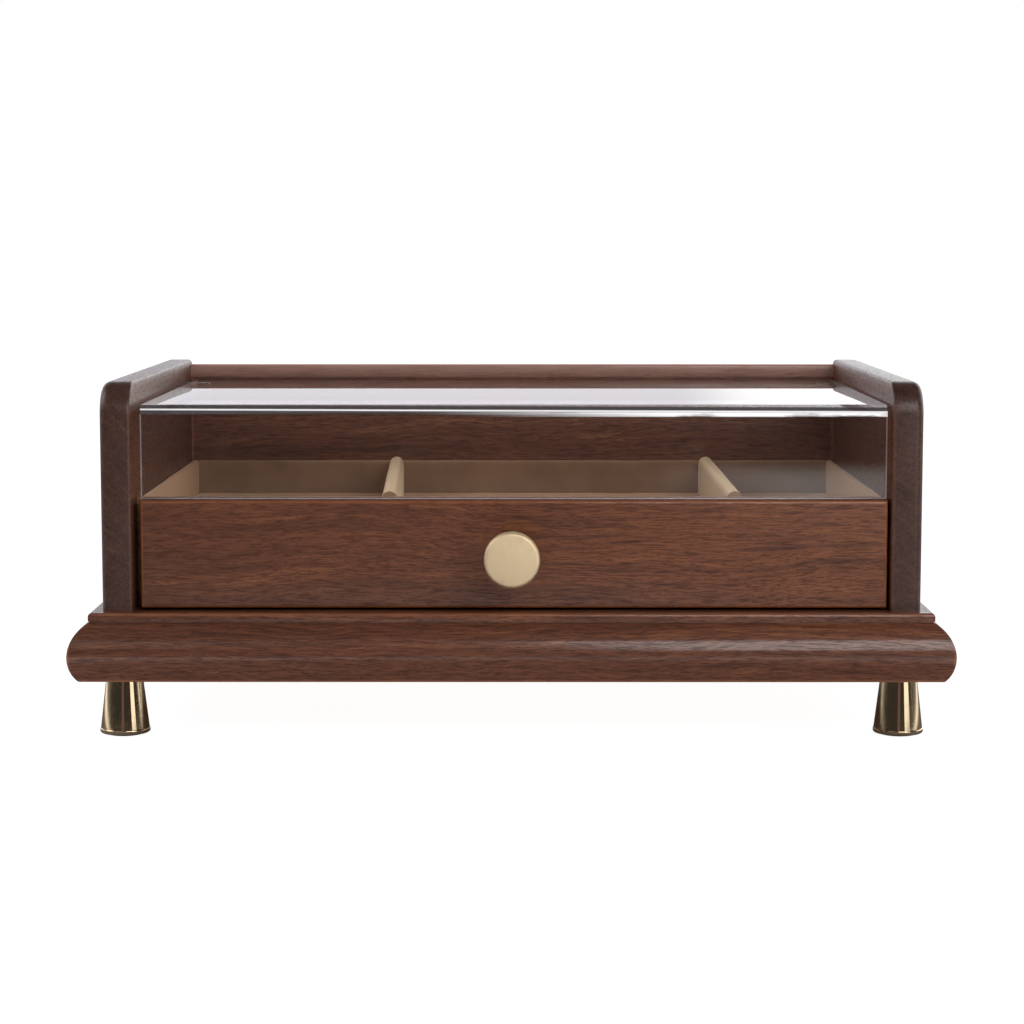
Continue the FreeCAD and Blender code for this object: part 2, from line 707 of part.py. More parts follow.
knob = new_body("drawer_knob")
knob_profile = new_sketch(knob, "knob_profile", "XZ_Plane")
draw_outline(knob_profile, [
    ("knob_screw_diameter / 2", "0"),
    ("knob_seat_diameter / 2", "0"),
    ("knob_seat_diameter / 2", "knob_seat_thickness"),
    ("knob_neck_diameter / 2", "knob_seat_thickness"),
    ("knob_neck_diameter / 2", "knob_disc_back - knob_flare"),
    ("knob_diameter / 2", "knob_disc_back"),
    ("knob_diameter / 2", "knob_projection - knob_edge_round"),
    ("knob_diameter / 2 - knob_edge_facet", "knob_projection - knob_edge_facet"),
    ("knob_diameter / 2 - knob_edge_round", "knob_projection"),
    ("0", "knob_projection"),
    ("0", "knob_screw_reach"),
    ("knob_screw_diameter / 2", "knob_screw_reach"),
])
revolve(knob, knob_profile)
lay_on_front(knob)

screw = new_body("knob_screw")
screw_profile = new_sketch(screw, "knob_screw_profile", "XZ_Plane")
head_seat = "-(drawer_front_thickness - counterbore_depth)"
draw_outline(screw_profile, [
    ("0", f"{head_seat} - screw_head_height"),
    ("screw_head_diameter / 2", f"{head_seat} - screw_head_height"),
    ("screw_head_diameter / 2", head_seat),
    ("knob_screw_diameter / 2", head_seat),
    ("knob_screw_diameter / 2", "knob_screw_reach"),
    ("0", "knob_screw_reach"),
])
revolve(screw, screw_profile)
lay_on_front(screw)


# Check and write every piece

doc.recompute()
for thing in doc.Objects:
    if "Invalid" in thing.State or "Error" in thing.State:
        raise RuntimeError(f"{thing.Name} failed: {thing.State}")
for thing in parts:
    if thing.Shape.isNull() or not thing.Shape.isValid() or not thing.Shape.Solids:
        raise RuntimeError(f"{thing.Label} has no sound shape")
os.makedirs("parts", exist_ok=True)
for thing in parts:
    thing.Shape.exportStep(f"parts/{thing.Label}.step")
print(f"{len(parts)} pieces written")
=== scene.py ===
import math

import bmesh
import bpy
from mathutils import Matrix, Vector, noise


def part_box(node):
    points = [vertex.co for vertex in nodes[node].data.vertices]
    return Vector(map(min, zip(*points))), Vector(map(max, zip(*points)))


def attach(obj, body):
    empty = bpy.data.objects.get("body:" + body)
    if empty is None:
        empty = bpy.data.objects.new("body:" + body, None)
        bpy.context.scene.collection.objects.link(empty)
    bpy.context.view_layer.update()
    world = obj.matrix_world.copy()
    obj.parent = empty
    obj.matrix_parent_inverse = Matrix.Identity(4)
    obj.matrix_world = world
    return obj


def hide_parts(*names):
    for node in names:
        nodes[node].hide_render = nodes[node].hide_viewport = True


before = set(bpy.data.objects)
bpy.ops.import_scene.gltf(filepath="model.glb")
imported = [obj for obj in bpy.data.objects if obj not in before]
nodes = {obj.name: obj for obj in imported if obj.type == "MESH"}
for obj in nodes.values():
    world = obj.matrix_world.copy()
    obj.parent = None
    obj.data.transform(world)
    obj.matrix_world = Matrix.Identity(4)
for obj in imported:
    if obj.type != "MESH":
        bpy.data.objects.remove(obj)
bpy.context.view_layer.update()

# Wooden jewelry box: walnut case on a mitred moulding and brass feet, bent clear lid over a velvet
# tray, shallow drawer with a brass knob. Metres, in the frame of the solids: the drawer faces -Y.

# Lines of the base and the lid, read from the solids
base_low, base_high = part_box("front_moulding")
base_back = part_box("back_moulding")[1].y
base_middle = (base_back + base_low.y) / 2
base_width = base_high.x - base_low.x
base_depth = base_back - base_low.y
lid_low, lid_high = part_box("lid_cover")

# Base moulding
OVERHANG = 0.0105
MOULDING_WIDTH = 0.027
BULGE_RADIUS = 0.0128
BULGE_HEIGHT = 0.0087
BULGE_FOOT_ROUND = 0.0014
LIP_OUT = 0.0041
LIP_HEIGHT = 0.0027
LIP_ROUND = 0.0012
QUIRK_DEPTH = 0.0004
QUIRK_HEIGHT = 0.0005
BASE_BOARD_THICKNESS = 0.006
BASE_BOARD_REBATE = 0.005

# Feet and felt
FOOT_TOP_RADIUS = 0.0062
FOOT_RIM_HEIGHT = 0.0016
FOOT_RIM_STEP = 0.00025
FOOT_RIM_BEVEL = 0.0001
FOOT_RIM_ROUND = 0.0002
FOOT_BOTTOM_ROUND = 0.0007
PAD_RADIUS = 0.0065
PAD_THICKNESS = 0.0015
PAD_PROUD = 0.0005
BUMPER_RADIUS = 0.004
BUMPER_THICKNESS = 0.0015
FELT_ROUND = 0.0003

# Case panels, and the groove along the back panel that the lid's rear edge faces
PANEL_CORNER = 0.011
PANEL_OUTER_ROUND = 0.003
PANEL_INNER_ROUND = 0.0009
RAIL_BACK_ROUND = 0.006
RAIL_FRONT_ROUND = 0.001
GROOVE_DEPTH = 0.0008
GROOVE_BELOW_LID_TOP = 0.0034
GROOVE_ABOVE_LID_TOP = 0.0006

# Lid
SHEET_THICKNESS = 0.003
BEND_OUTER_RADIUS = 0.004
BEND_INNER_RADIUS = 0.001
SKIRT_BEVEL = 0.0011
PIN_PLAY = 0.0001
PIN_END_ROUND = 0.0002
DRILL_OVERSHOOT = 0.002

# Velvet: the steps are the spacing of its points, the dents how deep and how wide they are
LINING_TOP_ROUND = 0.00149
DIVIDER_TOP_ROUND = 0.00279
DIVIDER_ASKEW = 0.004
WALL_STEP = 0.003
FLOOR_STEP = 0.004
FLOOR_EDGE_ROUND = 0.0009
WALL_DENTS = (0.00012, 0.011)
FLOOR_DENTS = (0.00015, 0.014)

# Knob
KNOB_SEAT_RADIUS = 0.0055
KNOB_SEAT_THICKNESS = 0.0016
KNOB_NECK_RADIUS = 0.0035
KNOB_DISC_THICKNESS = 0.0046
KNOB_FLARE = 0.003
KNOB_RIM_ROUND = 0.0011
KNOB_BACK_ROUND = 0.0005
KNOB_SEAT_ROUND = 0.0004

# Camera, as fitted to the corners of the box
CAMERA_PLACE = (0.00194, -0.943, 0.17026)
CAMERA_DOWN = 6.18
CAMERA_LEFT = 0.117
CAMERA_LENS = 89.65

# Soft boxes: name, place, target, width, height and watts
SOFTBOXES = (
    ("key_softbox", (0.59, -0.66, 0.37), (0, 0, 0.37), 0.35, 0.7, 1.05),
    ("front_softbox", (0.36, -0.86, 0.52), (0, -0.08, 0.06), 0.66, 0.5, 3.9),
    ("left_softbox", (-0.45, -0.85, 0.55), (0, -0.08, 0.06), 0.6, 0.45, 0.45),
    ("side_softbox", (-0.8, -0.1, 0.6), (0.05, 0, 0.08), 0.5, 0.5, 3),
)

ACRYLIC_IOR = 1.49


# Camera and lamps

def place_camera():
    camera = bpy.data.objects.new("camera", bpy.data.cameras.new("camera"))
    camera.data.sensor_width = 36.0
    camera.data.lens = CAMERA_LENS
    camera.data.clip_start = 0.05
    camera.location = CAMERA_PLACE
    camera.rotation_euler = (math.radians(90 - CAMERA_DOWN), 0, math.radians(CAMERA_LEFT))
    bpy.context.scene.collection.objects.link(camera)
    bpy.context.scene.camera = camera
    bpy.context.scene.view_settings.view_transform = "Standard"


def softbox(name, place, target, width, height, power):
    lamp = bpy.data.lights.new(name, "AREA")
    lamp.shape = "RECTANGLE"
    lamp.size, lamp.size_y = width, height
    lamp.energy = power
    item = bpy.data.objects.new(name, lamp)
    item.location = place
    direction = Vector(target) - Vector(place)
    item.rotation_euler = direction.to_track_quat("-Z", "Y").to_euler()
    bpy.context.scene.collection.objects.link(item)


place_camera()
for settings in SOFTBOXES:
    softbox(*settings)


# Shader helpers: each adds nodes to a tree and gives the socket that holds the result

def math_node(tree, operation, first, second, clamp=False):
    """One step of arithmetic; each side is a socket or a number."""
    node = tree.nodes.new("ShaderNodeMath")
    node.operation = operation
    node.use_clamp = clamp
    for index, source in enumerate((first, second)):
        if isinstance(source, (int, float)):
            node.inputs[index].default_value = source
        else:
            tree.links.new(source, node.inputs[index])
    return node.outputs[0]


def product(tree, first, *others):
    for other in others:
        first = math_node(tree, "MULTIPLY", first, other)
    return first


def total(tree, first, *others):
    for other in others:
        first = math_node(tree, "ADD", first, other)
    return first


def difference(tree, first, second):
    return math_node(tree, "SUBTRACT", first, second)


def vector_math(tree, operation, first, second):
    """The same for vectors; the second side is a socket or three numbers."""
    node = tree.nodes.new("ShaderNodeVectorMath")
    node.operation = operation
    tree.links.new(first, node.inputs[0])
    if isinstance(second, tuple):
        node.inputs[1].default_value = second
    else:
        tree.links.new(second, node.inputs[1])
    return node.outputs[0]


def scaled(tree, vector, scale):
    """The vector with each coordinate multiplied by its own number."""
    return vector_math(tree, "MULTIPLY", vector, scale)


def axes_of(tree, vector):
    """The three coordinates of a vector."""
    node = tree.nodes.new("ShaderNodeSeparateXYZ")
    tree.links.new(vector, node.inputs[0])
    return node.outputs[0], node.outputs[1], node.outputs[2]


def noise_node(tree, vector, scale=1.0, detail=2.0, roughness=0.5):
    node = tree.nodes.new("ShaderNodeTexNoise")
    tree.links.new(vector, node.inputs["Vector"])
    node.inputs["Scale"].default_value = scale
    node.inputs["Detail"].default_value = detail
    node.inputs["Roughness"].default_value = roughness
    return node.outputs["Fac"]


def stepped(tree, source, low, high):
    """0 at low and 1 at high, smooth between; low may be the larger number."""
    node = tree.nodes.new("ShaderNodeMapRange")
    node.interpolation_type = "SMOOTHSTEP"
    tree.links.new(source, node.inputs["Value"])
    node.inputs["From Min"].default_value = low
    node.inputs["From Max"].default_value = high
    return node.outputs["Result"]


def banded(tree, source, rise, fall):
    """1 between a rise and a fall, each given by where it starts and ends."""
    return product(tree, stepped(tree, source, *rise), stepped(tree, source, fall[1], fall[0]))


def blended(tree, amount, first, second):
    """A colour mixed from two; each is a socket or a colour."""
    node = tree.nodes.new("ShaderNodeMix")
    node.data_type = "RGBA"
    for name, source in (("A", first), ("B", second)):
        socket = next(s for s in node.inputs if s.name == name and s.type == "RGBA")
        if isinstance(source, tuple):
            socket.default_value = source
        else:
            tree.links.new(source, socket)
    tree.links.new(amount, node.inputs["Factor"])
    return next(s for s in node.outputs if s.type == "RGBA")


def rgb(red, green, blue):
    """A colour given as it looks on a screen, 0 to 255."""
    def linear(channel):
        c = channel / 255
        return c / 12.92 if c <= 0.04045 else ((c + 0.055) / 1.055) ** 2.4
    return (linear(red), linear(green), linear(blue), 1.0)


def shade(colour, factor):
    """The colour made lighter or darker."""
    return tuple(channel * factor for channel in colour[:3]) + (1.0,)


# Node groups, which all materials share

def new_group(name, inputs, outputs):
    """A node group with named sockets; gives the group, its input node and its output node."""
    group = bpy.data.node_groups.new(name, "ShaderNodeTree")
    for label, kind, default in inputs:
        socket = group.interface.new_socket(label, in_out="INPUT", socket_type=kind)
        if default is not None:
            socket.default_value = default
    for label, kind in outputs:
        group.interface.new_socket(label, in_out="OUTPUT", socket_type=kind)
    return group, group.nodes.new("NodeGroupInput"), group.nodes.new("NodeGroupOutput")


def walnut_grain():
    """Long streaks, figure and short dark pores along the first coordinate."""
    tree, given, result = new_group("walnut_grain", [
        ("Vector", "NodeSocketVector", None),
        ("Offset", "NodeSocketVector", (0.0, 0.0, 0.0)),
        ("Light", "NodeSocketColor", rgb(150, 100, 72)),
        ("Middle", "NodeSocketColor", rgb(112, 72, 54)),
        ("Dark", "NodeSocketColor", rgb(62, 38, 30)),
        ("Pore Strength", "NodeSocketFloat", 0.6),
    ], [
        ("Color", "NodeSocketColor"), ("Roughness", "NodeSocketFloat"),
        ("Height", "NodeSocketFloat"), ("Gloss", "NodeSocketFloat"),
    ])

    # The grain wanders a few millimetres sideways, and the figure lies at an angle in the board
    place = vector_math(tree, "ADD", given.outputs["Vector"], given.outputs["Offset"])
    wander = noise_node(tree, scaled(tree, place, (9, 22, 22)), detail=2)
    sideways = tree.nodes.new("ShaderNodeCombineXYZ")
    shift = product(tree, difference(tree, wander, 0.5), 0.014)
    tree.links.new(shift, sideways.inputs["Y"])
    tree.links.new(shift, sideways.inputs["Z"])
    curved = vector_math(tree, "ADD", place, sideways.outputs[0])
    rings = tree.nodes.new("ShaderNodeMapping")
    rings.inputs["Rotation"].default_value = (0.6, 0, 0)
    tree.links.new(curved, rings.inputs["Vector"])
    ringed = rings.outputs["Vector"]

    # Waves for each metre along the grain and across it
    figure = noise_node(tree, scaled(tree, ringed, (4, 30, 95)), detail=3, roughness=0.55)
    streaks = noise_node(tree, scaled(tree, ringed, (22, 160, 620)), detail=3, roughness=0.62)
    fibres = noise_node(tree, scaled(tree, curved, (110, 2600, 2600)), detail=2, roughness=0.6)
    dashes = noise_node(tree, scaled(tree, curved, (60, 620, 620)), detail=2)
    pores = noise_node(tree, scaled(tree, curved, (150, 2200, 2200)), detail=1)
    short_pores = noise_node(tree, scaled(tree, curved, (360, 2900, 2900)), detail=1)
    pore_mask = math_node(tree, "MAXIMUM", stepped(tree, pores, 0.52, 0.62),
                          stepped(tree, short_pores, 0.56, 0.68))

    tone = total(tree, product(tree, figure, 0.45), product(tree, streaks, 0.55))
    dark = given.outputs["Dark"]
    colour = blended(tree, stepped(tree, tone, 0.5, 0.3), given.outputs["Middle"], dark)
    colour = blended(tree, stepped(tree, tone, 0.5, 0.7), colour, given.outputs["Light"])
    colour = blended(tree, product(tree, stepped(tree, fibres, 0.45, 0.75), 0.4), colour, dark)
    colour = blended(tree, product(tree, stepped(tree, dashes, 0.5, 0.66), 0.3), colour, dark)
    colour = blended(tree, product(tree, pore_mask, given.outputs["Pore Strength"]), colour,
                     rgb(50, 28, 20))
    tree.links.new(colour, result.inputs["Color"])
    tree.links.new(total(tree, product(tree, streaks, 0.18), 0.34), result.inputs["Roughness"])
    tree.links.new(difference(tree, product(tree, fibres, 0.4), pore_mask),
                   result.inputs["Height"])
    tree.links.new(difference(tree, 1.0, product(tree, pore_mask, 0.5)), result.inputs["Gloss"])
    return tree


def edge_wear_and_highlight():
    """A ragged pale line along the edges of a box given by two of its corners: rubbed wood and a
    painted highlight.
    """
    tree, given, result = new_group("edge_wear_and_highlight", [
        ("Vector", "NodeSocketVector", None),
        ("Low", "NodeSocketVector", (0.0, 0.0, 0.0)),
        ("High", "NodeSocketVector", (0.0, 0.0, 0.0)),
        ("Width", "NodeSocketFloat", 0.0012),
    ], [("Mask", "NodeSocketFloat")])
    place = given.outputs["Vector"]
    from_low = vector_math(tree, "SUBTRACT", place, given.outputs["Low"])
    from_high = vector_math(tree, "SUBTRACT", given.outputs["High"], place)
    depth_x, depth_y, depth_z = axes_of(tree, vector_math(tree, "MINIMUM", from_low, from_high))

    # An edge is near where the second smallest of the three depths is small
    shallow = math_node(tree, "MINIMUM", depth_x, depth_y)
    deep = math_node(tree, "MAXIMUM", depth_x, depth_y)
    to_edge = math_node(tree, "MAXIMUM", shallow, math_node(tree, "MINIMUM", deep, depth_z))
    ragged_noise = noise_node(tree, place, scale=160, detail=4, roughness=0.65)
    ragged = product(tree, given.outputs["Width"], total(tree, product(tree, ragged_noise, 1.4), 0.3))
    # Paler close to the edges: rubbed wood mixed with a painted highlight
    worn_and_lit = math_node(tree, "SUBTRACT", 1.0, math_node(tree, "DIVIDE", to_edge, ragged), clamp=True)
    tree.links.new(worn_and_lit, result.inputs["Mask"])
    return tree


def cloth_pile():
    """The mottled nap of velvet and felt."""
    tree, given, result = new_group("cloth_pile", [
        ("Vector", "NodeSocketVector", None),
        ("Deep", "NodeSocketColor", rgb(120, 98, 76)),
        ("Lit", "NodeSocketColor", rgb(188, 160, 128)),
    ], [
        ("Color", "NodeSocketColor"), ("Height", "NodeSocketFloat"),
    ])
    nap = noise_node(tree, given.outputs["Vector"], scale=55, detail=4, roughness=0.6)
    tufts = noise_node(tree, given.outputs["Vector"], scale=4200, detail=2, roughness=0.7)
    lit_part = total(tree, product(tree, stepped(tree, nap, 0.3, 0.7), 0.6),
                     product(tree, tufts, 0.4))
    tree.links.new(blended(tree, lit_part, given.outputs["Deep"], given.outputs["Lit"]),
                   result.inputs["Color"])
    tree.links.new(tufts, result.inputs["Height"])
    return tree


def handling_marks():
    """Faint smudges and fine lines on metal and plastic."""
    tree, given, result = new_group("handling_marks", [
        ("Vector", "NodeSocketVector", None),
        ("Clean", "NodeSocketFloat", 0.1),
        ("Dull", "NodeSocketFloat", 0.25),
    ], [
        ("Mask", "NodeSocketFloat"), ("Roughness", "NodeSocketFloat"),
        ("Height", "NodeSocketFloat"),
    ])
    place = given.outputs["Vector"]
    smudges = stepped(tree, noise_node(tree, place, scale=130, detail=4, roughness=0.6), 0.45, 0.75)
    lines = noise_node(tree, scaled(tree, place, (500, 500, 9000)), detail=1)
    spread = difference(tree, given.outputs["Dull"], given.outputs["Clean"])
    tree.links.new(smudges, result.inputs["Mask"])
    tree.links.new(total(tree, given.outputs["Clean"], product(tree, smudges, spread)),
                   result.inputs["Roughness"])
    tree.links.new(lines, result.inputs["Height"])
    return tree


grain_group = walnut_grain()
wear_and_highlight_group = edge_wear_and_highlight()
pile_group = cloth_pile()
smudge_group = handling_marks()


# Materials

def new_material(name):
    """A material; gives its node tree, its shader and the object's own coordinates as well."""
    material = bpy.data.materials.new(name)
    material.use_nodes = True
    tree = material.node_tree
    shader = next(n for n in tree.nodes if n.type == "BSDF_PRINCIPLED")
    coordinates = tree.nodes.new("ShaderNodeTexCoord").outputs["Object"]
    return material, tree, shader, coordinates


def place_group(tree, group, vector, **values):
    node = tree.nodes.new("ShaderNodeGroup")
    node.node_tree = group
    tree.links.new(vector, node.inputs["Vector"])
    for name, value in values.items():
        node.inputs[name.replace("_", " ")].default_value = value
    return node


def add_bump(tree, shader, height, strength, distance):
    bump = tree.nodes.new("ShaderNodeBump")
    bump.inputs["Strength"].default_value = strength
    bump.inputs["Distance"].default_value = distance
    tree.links.new(height, bump.inputs["Height"])
    tree.links.new(bump.outputs["Normal"], shader.inputs["Normal"])


def set_values(shader, **values):
    for name, value in values.items():
        shader.inputs[name.replace("_", " ")].default_value = value


# Painted sheen on the back panel above the lid: where it starts, how it rises and its colour
SHEEN_EDGE = 0.0004
SHEEN_RISE = 0.006
SHEEN_COLOUR = rgb(206, 168, 158)


def painted_sheen_amount(tree, coordinates, level):
    """A patchy painted sheen that begins at a level and gets stronger above it."""
    height = axes_of(tree, coordinates)[2]
    patches = noise_node(tree, scaled(tree, coordinates, (60, 60, 300)), detail=3)
    start = product(tree, stepped(tree, height, level - SHEEN_EDGE, level + SHEEN_EDGE), 0.35)
    rise = product(tree, stepped(tree, height, level, level + SHEEN_RISE), 0.75)
    return product(tree, total(tree, start, rise), total(tree, product(tree, patches, 0.5), 0.2))


# Reach and darkness of the painted shade towards the left end
LEFT_SHADE_REACH = 0.13
LEFT_SHADE_TONE = 0.8
# Share and lightness of the rubbed edges and their painted highlight
WEAR_AND_HIGHLIGHT_SHARE = 0.45
WEAR_AND_HIGHLIGHT_TONE = 1.7


def walnut(name, grain_along, light, middle, dark, offset=(0, 0, 0), pores=0.5, coat=1.0,
           coat_roughness=0.17, box=None, painted_sheen_from=None, painted_left_shade=0.0):
    """Lacquered walnut with its grain along X or Y, rubbed and given a painted highlight along the
    edges of the box.

    A painted shade can darken it from the right to the left end, and a painted sheen can lighten it
    above a given level.
    """
    material, tree, shader, coordinates = new_material(name)
    turn = tree.nodes.new("ShaderNodeMapping")
    turn.inputs["Rotation"].default_value = (0, 0, math.pi / 2 if grain_along == "Y" else 0)
    tree.links.new(coordinates, turn.inputs["Vector"])
    grain = place_group(tree, grain_group, turn.outputs["Vector"], Offset=offset, Light=light,
                        Middle=middle, Dark=dark, Pore_Strength=pores)
    colour, roughness = grain.outputs["Color"], grain.outputs["Roughness"]
    # Painted shade: darker towards the left end, where less light falls
    if painted_left_shade:
        left_shade_mask = stepped(tree, axes_of(tree, coordinates)[0], LEFT_SHADE_REACH, -LEFT_SHADE_REACH)
        colour = blended(tree, product(tree, left_shade_mask, painted_left_shade), colour, shade(dark, LEFT_SHADE_TONE))
    # Painted sheen: lighter and paler above the level, where the panel catches more light, and a
    # little rougher
    if painted_sheen_from is not None:
        painted_sheen = painted_sheen_amount(tree, coordinates, painted_sheen_from)
        colour = blended(tree, painted_sheen, colour, SHEEN_COLOUR)
        roughness = total(tree, roughness, product(tree, painted_sheen, 0.4))
    # Edges paler from rubbing, mixed with a painted highlight where the rounded arrises catch the
    # light
    if box is not None:
        wear_and_highlight = place_group(tree, wear_and_highlight_group, coordinates, Low=box[0], High=box[1])
        colour = blended(tree, product(tree, wear_and_highlight.outputs["Mask"], WEAR_AND_HIGHLIGHT_SHARE), colour,
                         shade(light, WEAR_AND_HIGHLIGHT_TONE))
    tree.links.new(colour, shader.inputs["Base Color"])
    tree.links.new(roughness, shader.inputs["Roughness"])
    add_bump(tree, shader, grain.outputs["Height"], 0.25, 0.0003)
    set_values(shader, Specular_IOR_Level=0.15, Coat_Roughness=coat_roughness, Coat_IOR=1.5)
    tree.links.new(product(tree, grain.outputs["Gloss"], coat), shader.inputs["Coat Weight"])
    return material


# Light, middle and dark tone of each wood
CASE_TONES = (rgb(140, 88, 60), rgb(108, 63, 43), rgb(66, 38, 28))
# The back panel's tones are a lit copy of the case's, painted paler for the light it catches
LIT_RAIL_TONES = (rgb(156, 104, 76), rgb(124, 78, 56), rgb(84, 50, 38))
FACE_TONES = (rgb(130, 82, 58), rgb(102, 61, 44), rgb(64, 38, 29))
PANEL_EDGE_TONES = (rgb(92, 62, 52), rgb(74, 47, 39), rgb(50, 31, 27))
DRAWER_TONES = (rgb(154, 93, 57), rgb(121, 69, 41), rgb(77, 42, 27))
INNER_TONES = (rgb(176, 140, 104), rgb(150, 114, 82), rgb(116, 84, 60))

# The front moulding is worn and has a painted highlight along its lip, which stands further in than
# the bulge
LIP_BOX = ((base_low.x, base_low.y + OVERHANG - LIP_OUT, base_low.z), tuple(base_high))

# Painted shade: the front moulding darkens a little towards its left end
front_walnut = walnut("front_walnut", "X", *CASE_TONES, offset=(0.3, 0.1, 0.2), box=LIP_BOX,
                      painted_left_shade=0.1)
back_walnut = walnut("back_walnut", "X", *CASE_TONES, offset=(1.3, 0.5, 0.7))
side_walnut = walnut("side_walnut", "Y", *CASE_TONES, offset=(0.9, 0.4, 0.1), coat=0.35,
                     coat_roughness=0.3)
# The back panel gets its painted sheen above the lid's top
lit_rail_walnut = walnut("lit_rail_walnut", "X", *LIT_RAIL_TONES, offset=(1.3, 0.5, 0.7),
                     box=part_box("back_panel"), painted_sheen_from=lid_high.z)
face_walnut = walnut("face_walnut", "Y", *FACE_TONES, offset=(0.5, 0.9, 0.3), coat=0.5,
                     coat_roughness=0.3)
panel_edge_walnuts = {
    side: walnut(side + "_panel_walnut", "Y", *PANEL_EDGE_TONES, offset=(0.2, 0.7, 0.5), coat=0.6,
                 coat_roughness=0.3, box=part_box(side + "_side_panel"))
    for side in ("left", "right")}
# Painted shade: the drawer front darkens strongly towards its left end
drawer_walnut = walnut("drawer_walnut", "X", *DRAWER_TONES, offset=(0.11, 0.37, 0.61),
                       box=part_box("drawer_front"), painted_left_shade=0.42)
inner_wood_across = walnut("inner_wood_across", "X", *INNER_TONES, offset=(0.4, 0.2, 0.9),
                           pores=0.2, coat=0.1)
inner_wood_along = walnut("inner_wood_along", "Y", *INNER_TONES, offset=(0.8, 0.6, 0.3),
                          pores=0.2, coat=0.1)


def cloth(name, deep, lit, across, sheen, sheen_tint):
    """A piled cloth with a painted sheen: its colour turns paler where it is seen across the pile.
    """
    material, tree, shader, coordinates = new_material(name)
    pile = place_group(tree, pile_group, coordinates, Deep=deep, Lit=lit)
    # Painted sheen: the colour blends to the across colour as the face turns from the view
    facing = tree.nodes.new("ShaderNodeLayerWeight").outputs["Facing"]
    colour = blended(tree, math_node(tree, "POWER", facing, 1.8), pile.outputs["Color"], across)
    tree.links.new(colour, shader.inputs["Base Color"])
    add_bump(tree, shader, pile.outputs["Height"], 0.2, 0.0001)
    set_values(shader, Roughness=0.95, Sheen_Weight=sheen, Sheen_Roughness=0.35,
               Sheen_Tint=sheen_tint, Specular_IOR_Level=0.2)
    return material


# One tan velvet twice: a shaded copy for the linings and floor pads, and a paler lit copy for the
# dividers
shaded_velvet = cloth("shaded_velvet", rgb(134, 103, 78), rgb(158, 124, 95), rgb(212, 168, 130),
                   0.8, rgb(240, 206, 164))
lit_velvet = cloth("lit_velvet", rgb(150, 118, 86), rgb(176, 141, 106), rgb(252, 224, 180),
                    1.0, rgb(250, 220, 180))
brown_felt = cloth("brown_felt", rgb(48, 38, 32), rgb(70, 58, 50), rgb(80, 68, 60),
                   0.1, rgb(150, 140, 130))


def smudged(name, colour, smudge_factor, clean, dull):
    """A smooth material with smudges; clean and dull are its roughness without and with them."""
    material, tree, shader, coordinates = new_material(name)
    marks = place_group(tree, smudge_group, coordinates, Clean=clean, Dull=dull)
    tree.links.new(blended(tree, marks.outputs["Mask"], colour, shade(colour, smudge_factor)),
                   shader.inputs["Base Color"])
    tree.links.new(marks.outputs["Roughness"], shader.inputs["Roughness"])
    return material, tree, shader, marks


def metal(name, colour, clean, dull):
    material, tree, shader, marks = smudged(name, colour, 0.9, clean, dull)
    add_bump(tree, shader, marks.outputs["Height"], 0.03, 0.0001)
    set_values(shader, Metallic=1.0)
    return material


polished_brass = metal("polished_brass", rgb(230, 205, 168), 0.06, 0.12)
satin_brass = metal("satin_brass", rgb(249, 226, 188), 0.61, 0.65)
plain_steel = metal("plain_steel", rgb(196, 194, 190), 0.18, 0.3)
pale_plastic = smudged("pale_plastic", rgb(222, 218, 208), 0.88, 0.4, 0.55)[0]


def mixed_shaders(tree, amount, first, second):
    mixer = tree.nodes.new("ShaderNodeMixShader")
    tree.links.new(amount, mixer.inputs["Fac"])
    tree.links.new(first, mixer.inputs[1])
    tree.links.new(second, mixer.inputs[2])
    return mixer.outputs[0]


def clear_sheet(name, glass_share):
    """Clear acrylic, seen straight through, with the gloss of both faces and a little real glass.

    Light that leaves the sheet meets the inverse of the index of refraction at its back face.
    """
    material, tree, shader, coordinates = new_material(name)
    marks = place_group(tree, smudge_group, coordinates, Clean=0.0, Dull=0.02)
    tree.links.new(marks.outputs["Roughness"], shader.inputs["Roughness"])
    set_values(shader, Base_Color=(0.985, 0.985, 0.995, 1), Transmission_Weight=1.0,
               IOR=ACRYLIC_IOR)
    passing = tree.nodes.new("ShaderNodeBsdfTransparent")
    passing.inputs["Color"].default_value = (0.97, 0.97, 0.98, 1)
    gloss = tree.nodes.new("ShaderNodeBsdfGlossy")
    gloss.inputs["Roughness"].default_value = 0.02
    back_face = tree.nodes.new("ShaderNodeNewGeometry").outputs["Backfacing"]
    fresnel = tree.nodes.new("ShaderNodeFresnel")
    inward_drop = product(tree, back_face, ACRYLIC_IOR - 1 / ACRYLIC_IOR)
    tree.links.new(difference(tree, ACRYLIC_IOR, inward_drop), fresnel.inputs["IOR"])
    pane = mixed_shaders(tree, fresnel.outputs[0], passing.outputs[0], gloss.outputs[0])
    shadow_ray = tree.nodes.new("ShaderNodeLightPath").outputs["Is Shadow Ray"]
    share = product(tree, difference(tree, 1.0, shadow_ray), glass_share)
    end = next(n for n in tree.nodes if n.type == "OUTPUT_MATERIAL")
    tree.links.new(mixed_shaders(tree, share, pane, shader.outputs[0]), end.inputs["Surface"])
    return material


def frosted_edge(name, colour):
    """A cut edge of the acrylic, which catches the light."""
    material, tree, shader, coordinates = new_material(name)
    marks = place_group(tree, smudge_group, coordinates, Clean=0.3, Dull=0.45)
    tree.links.new(marks.outputs["Roughness"], shader.inputs["Roughness"])
    set_values(shader, Base_Color=colour, Transmission_Weight=0.6, IOR=ACRYLIC_IOR)
    return material


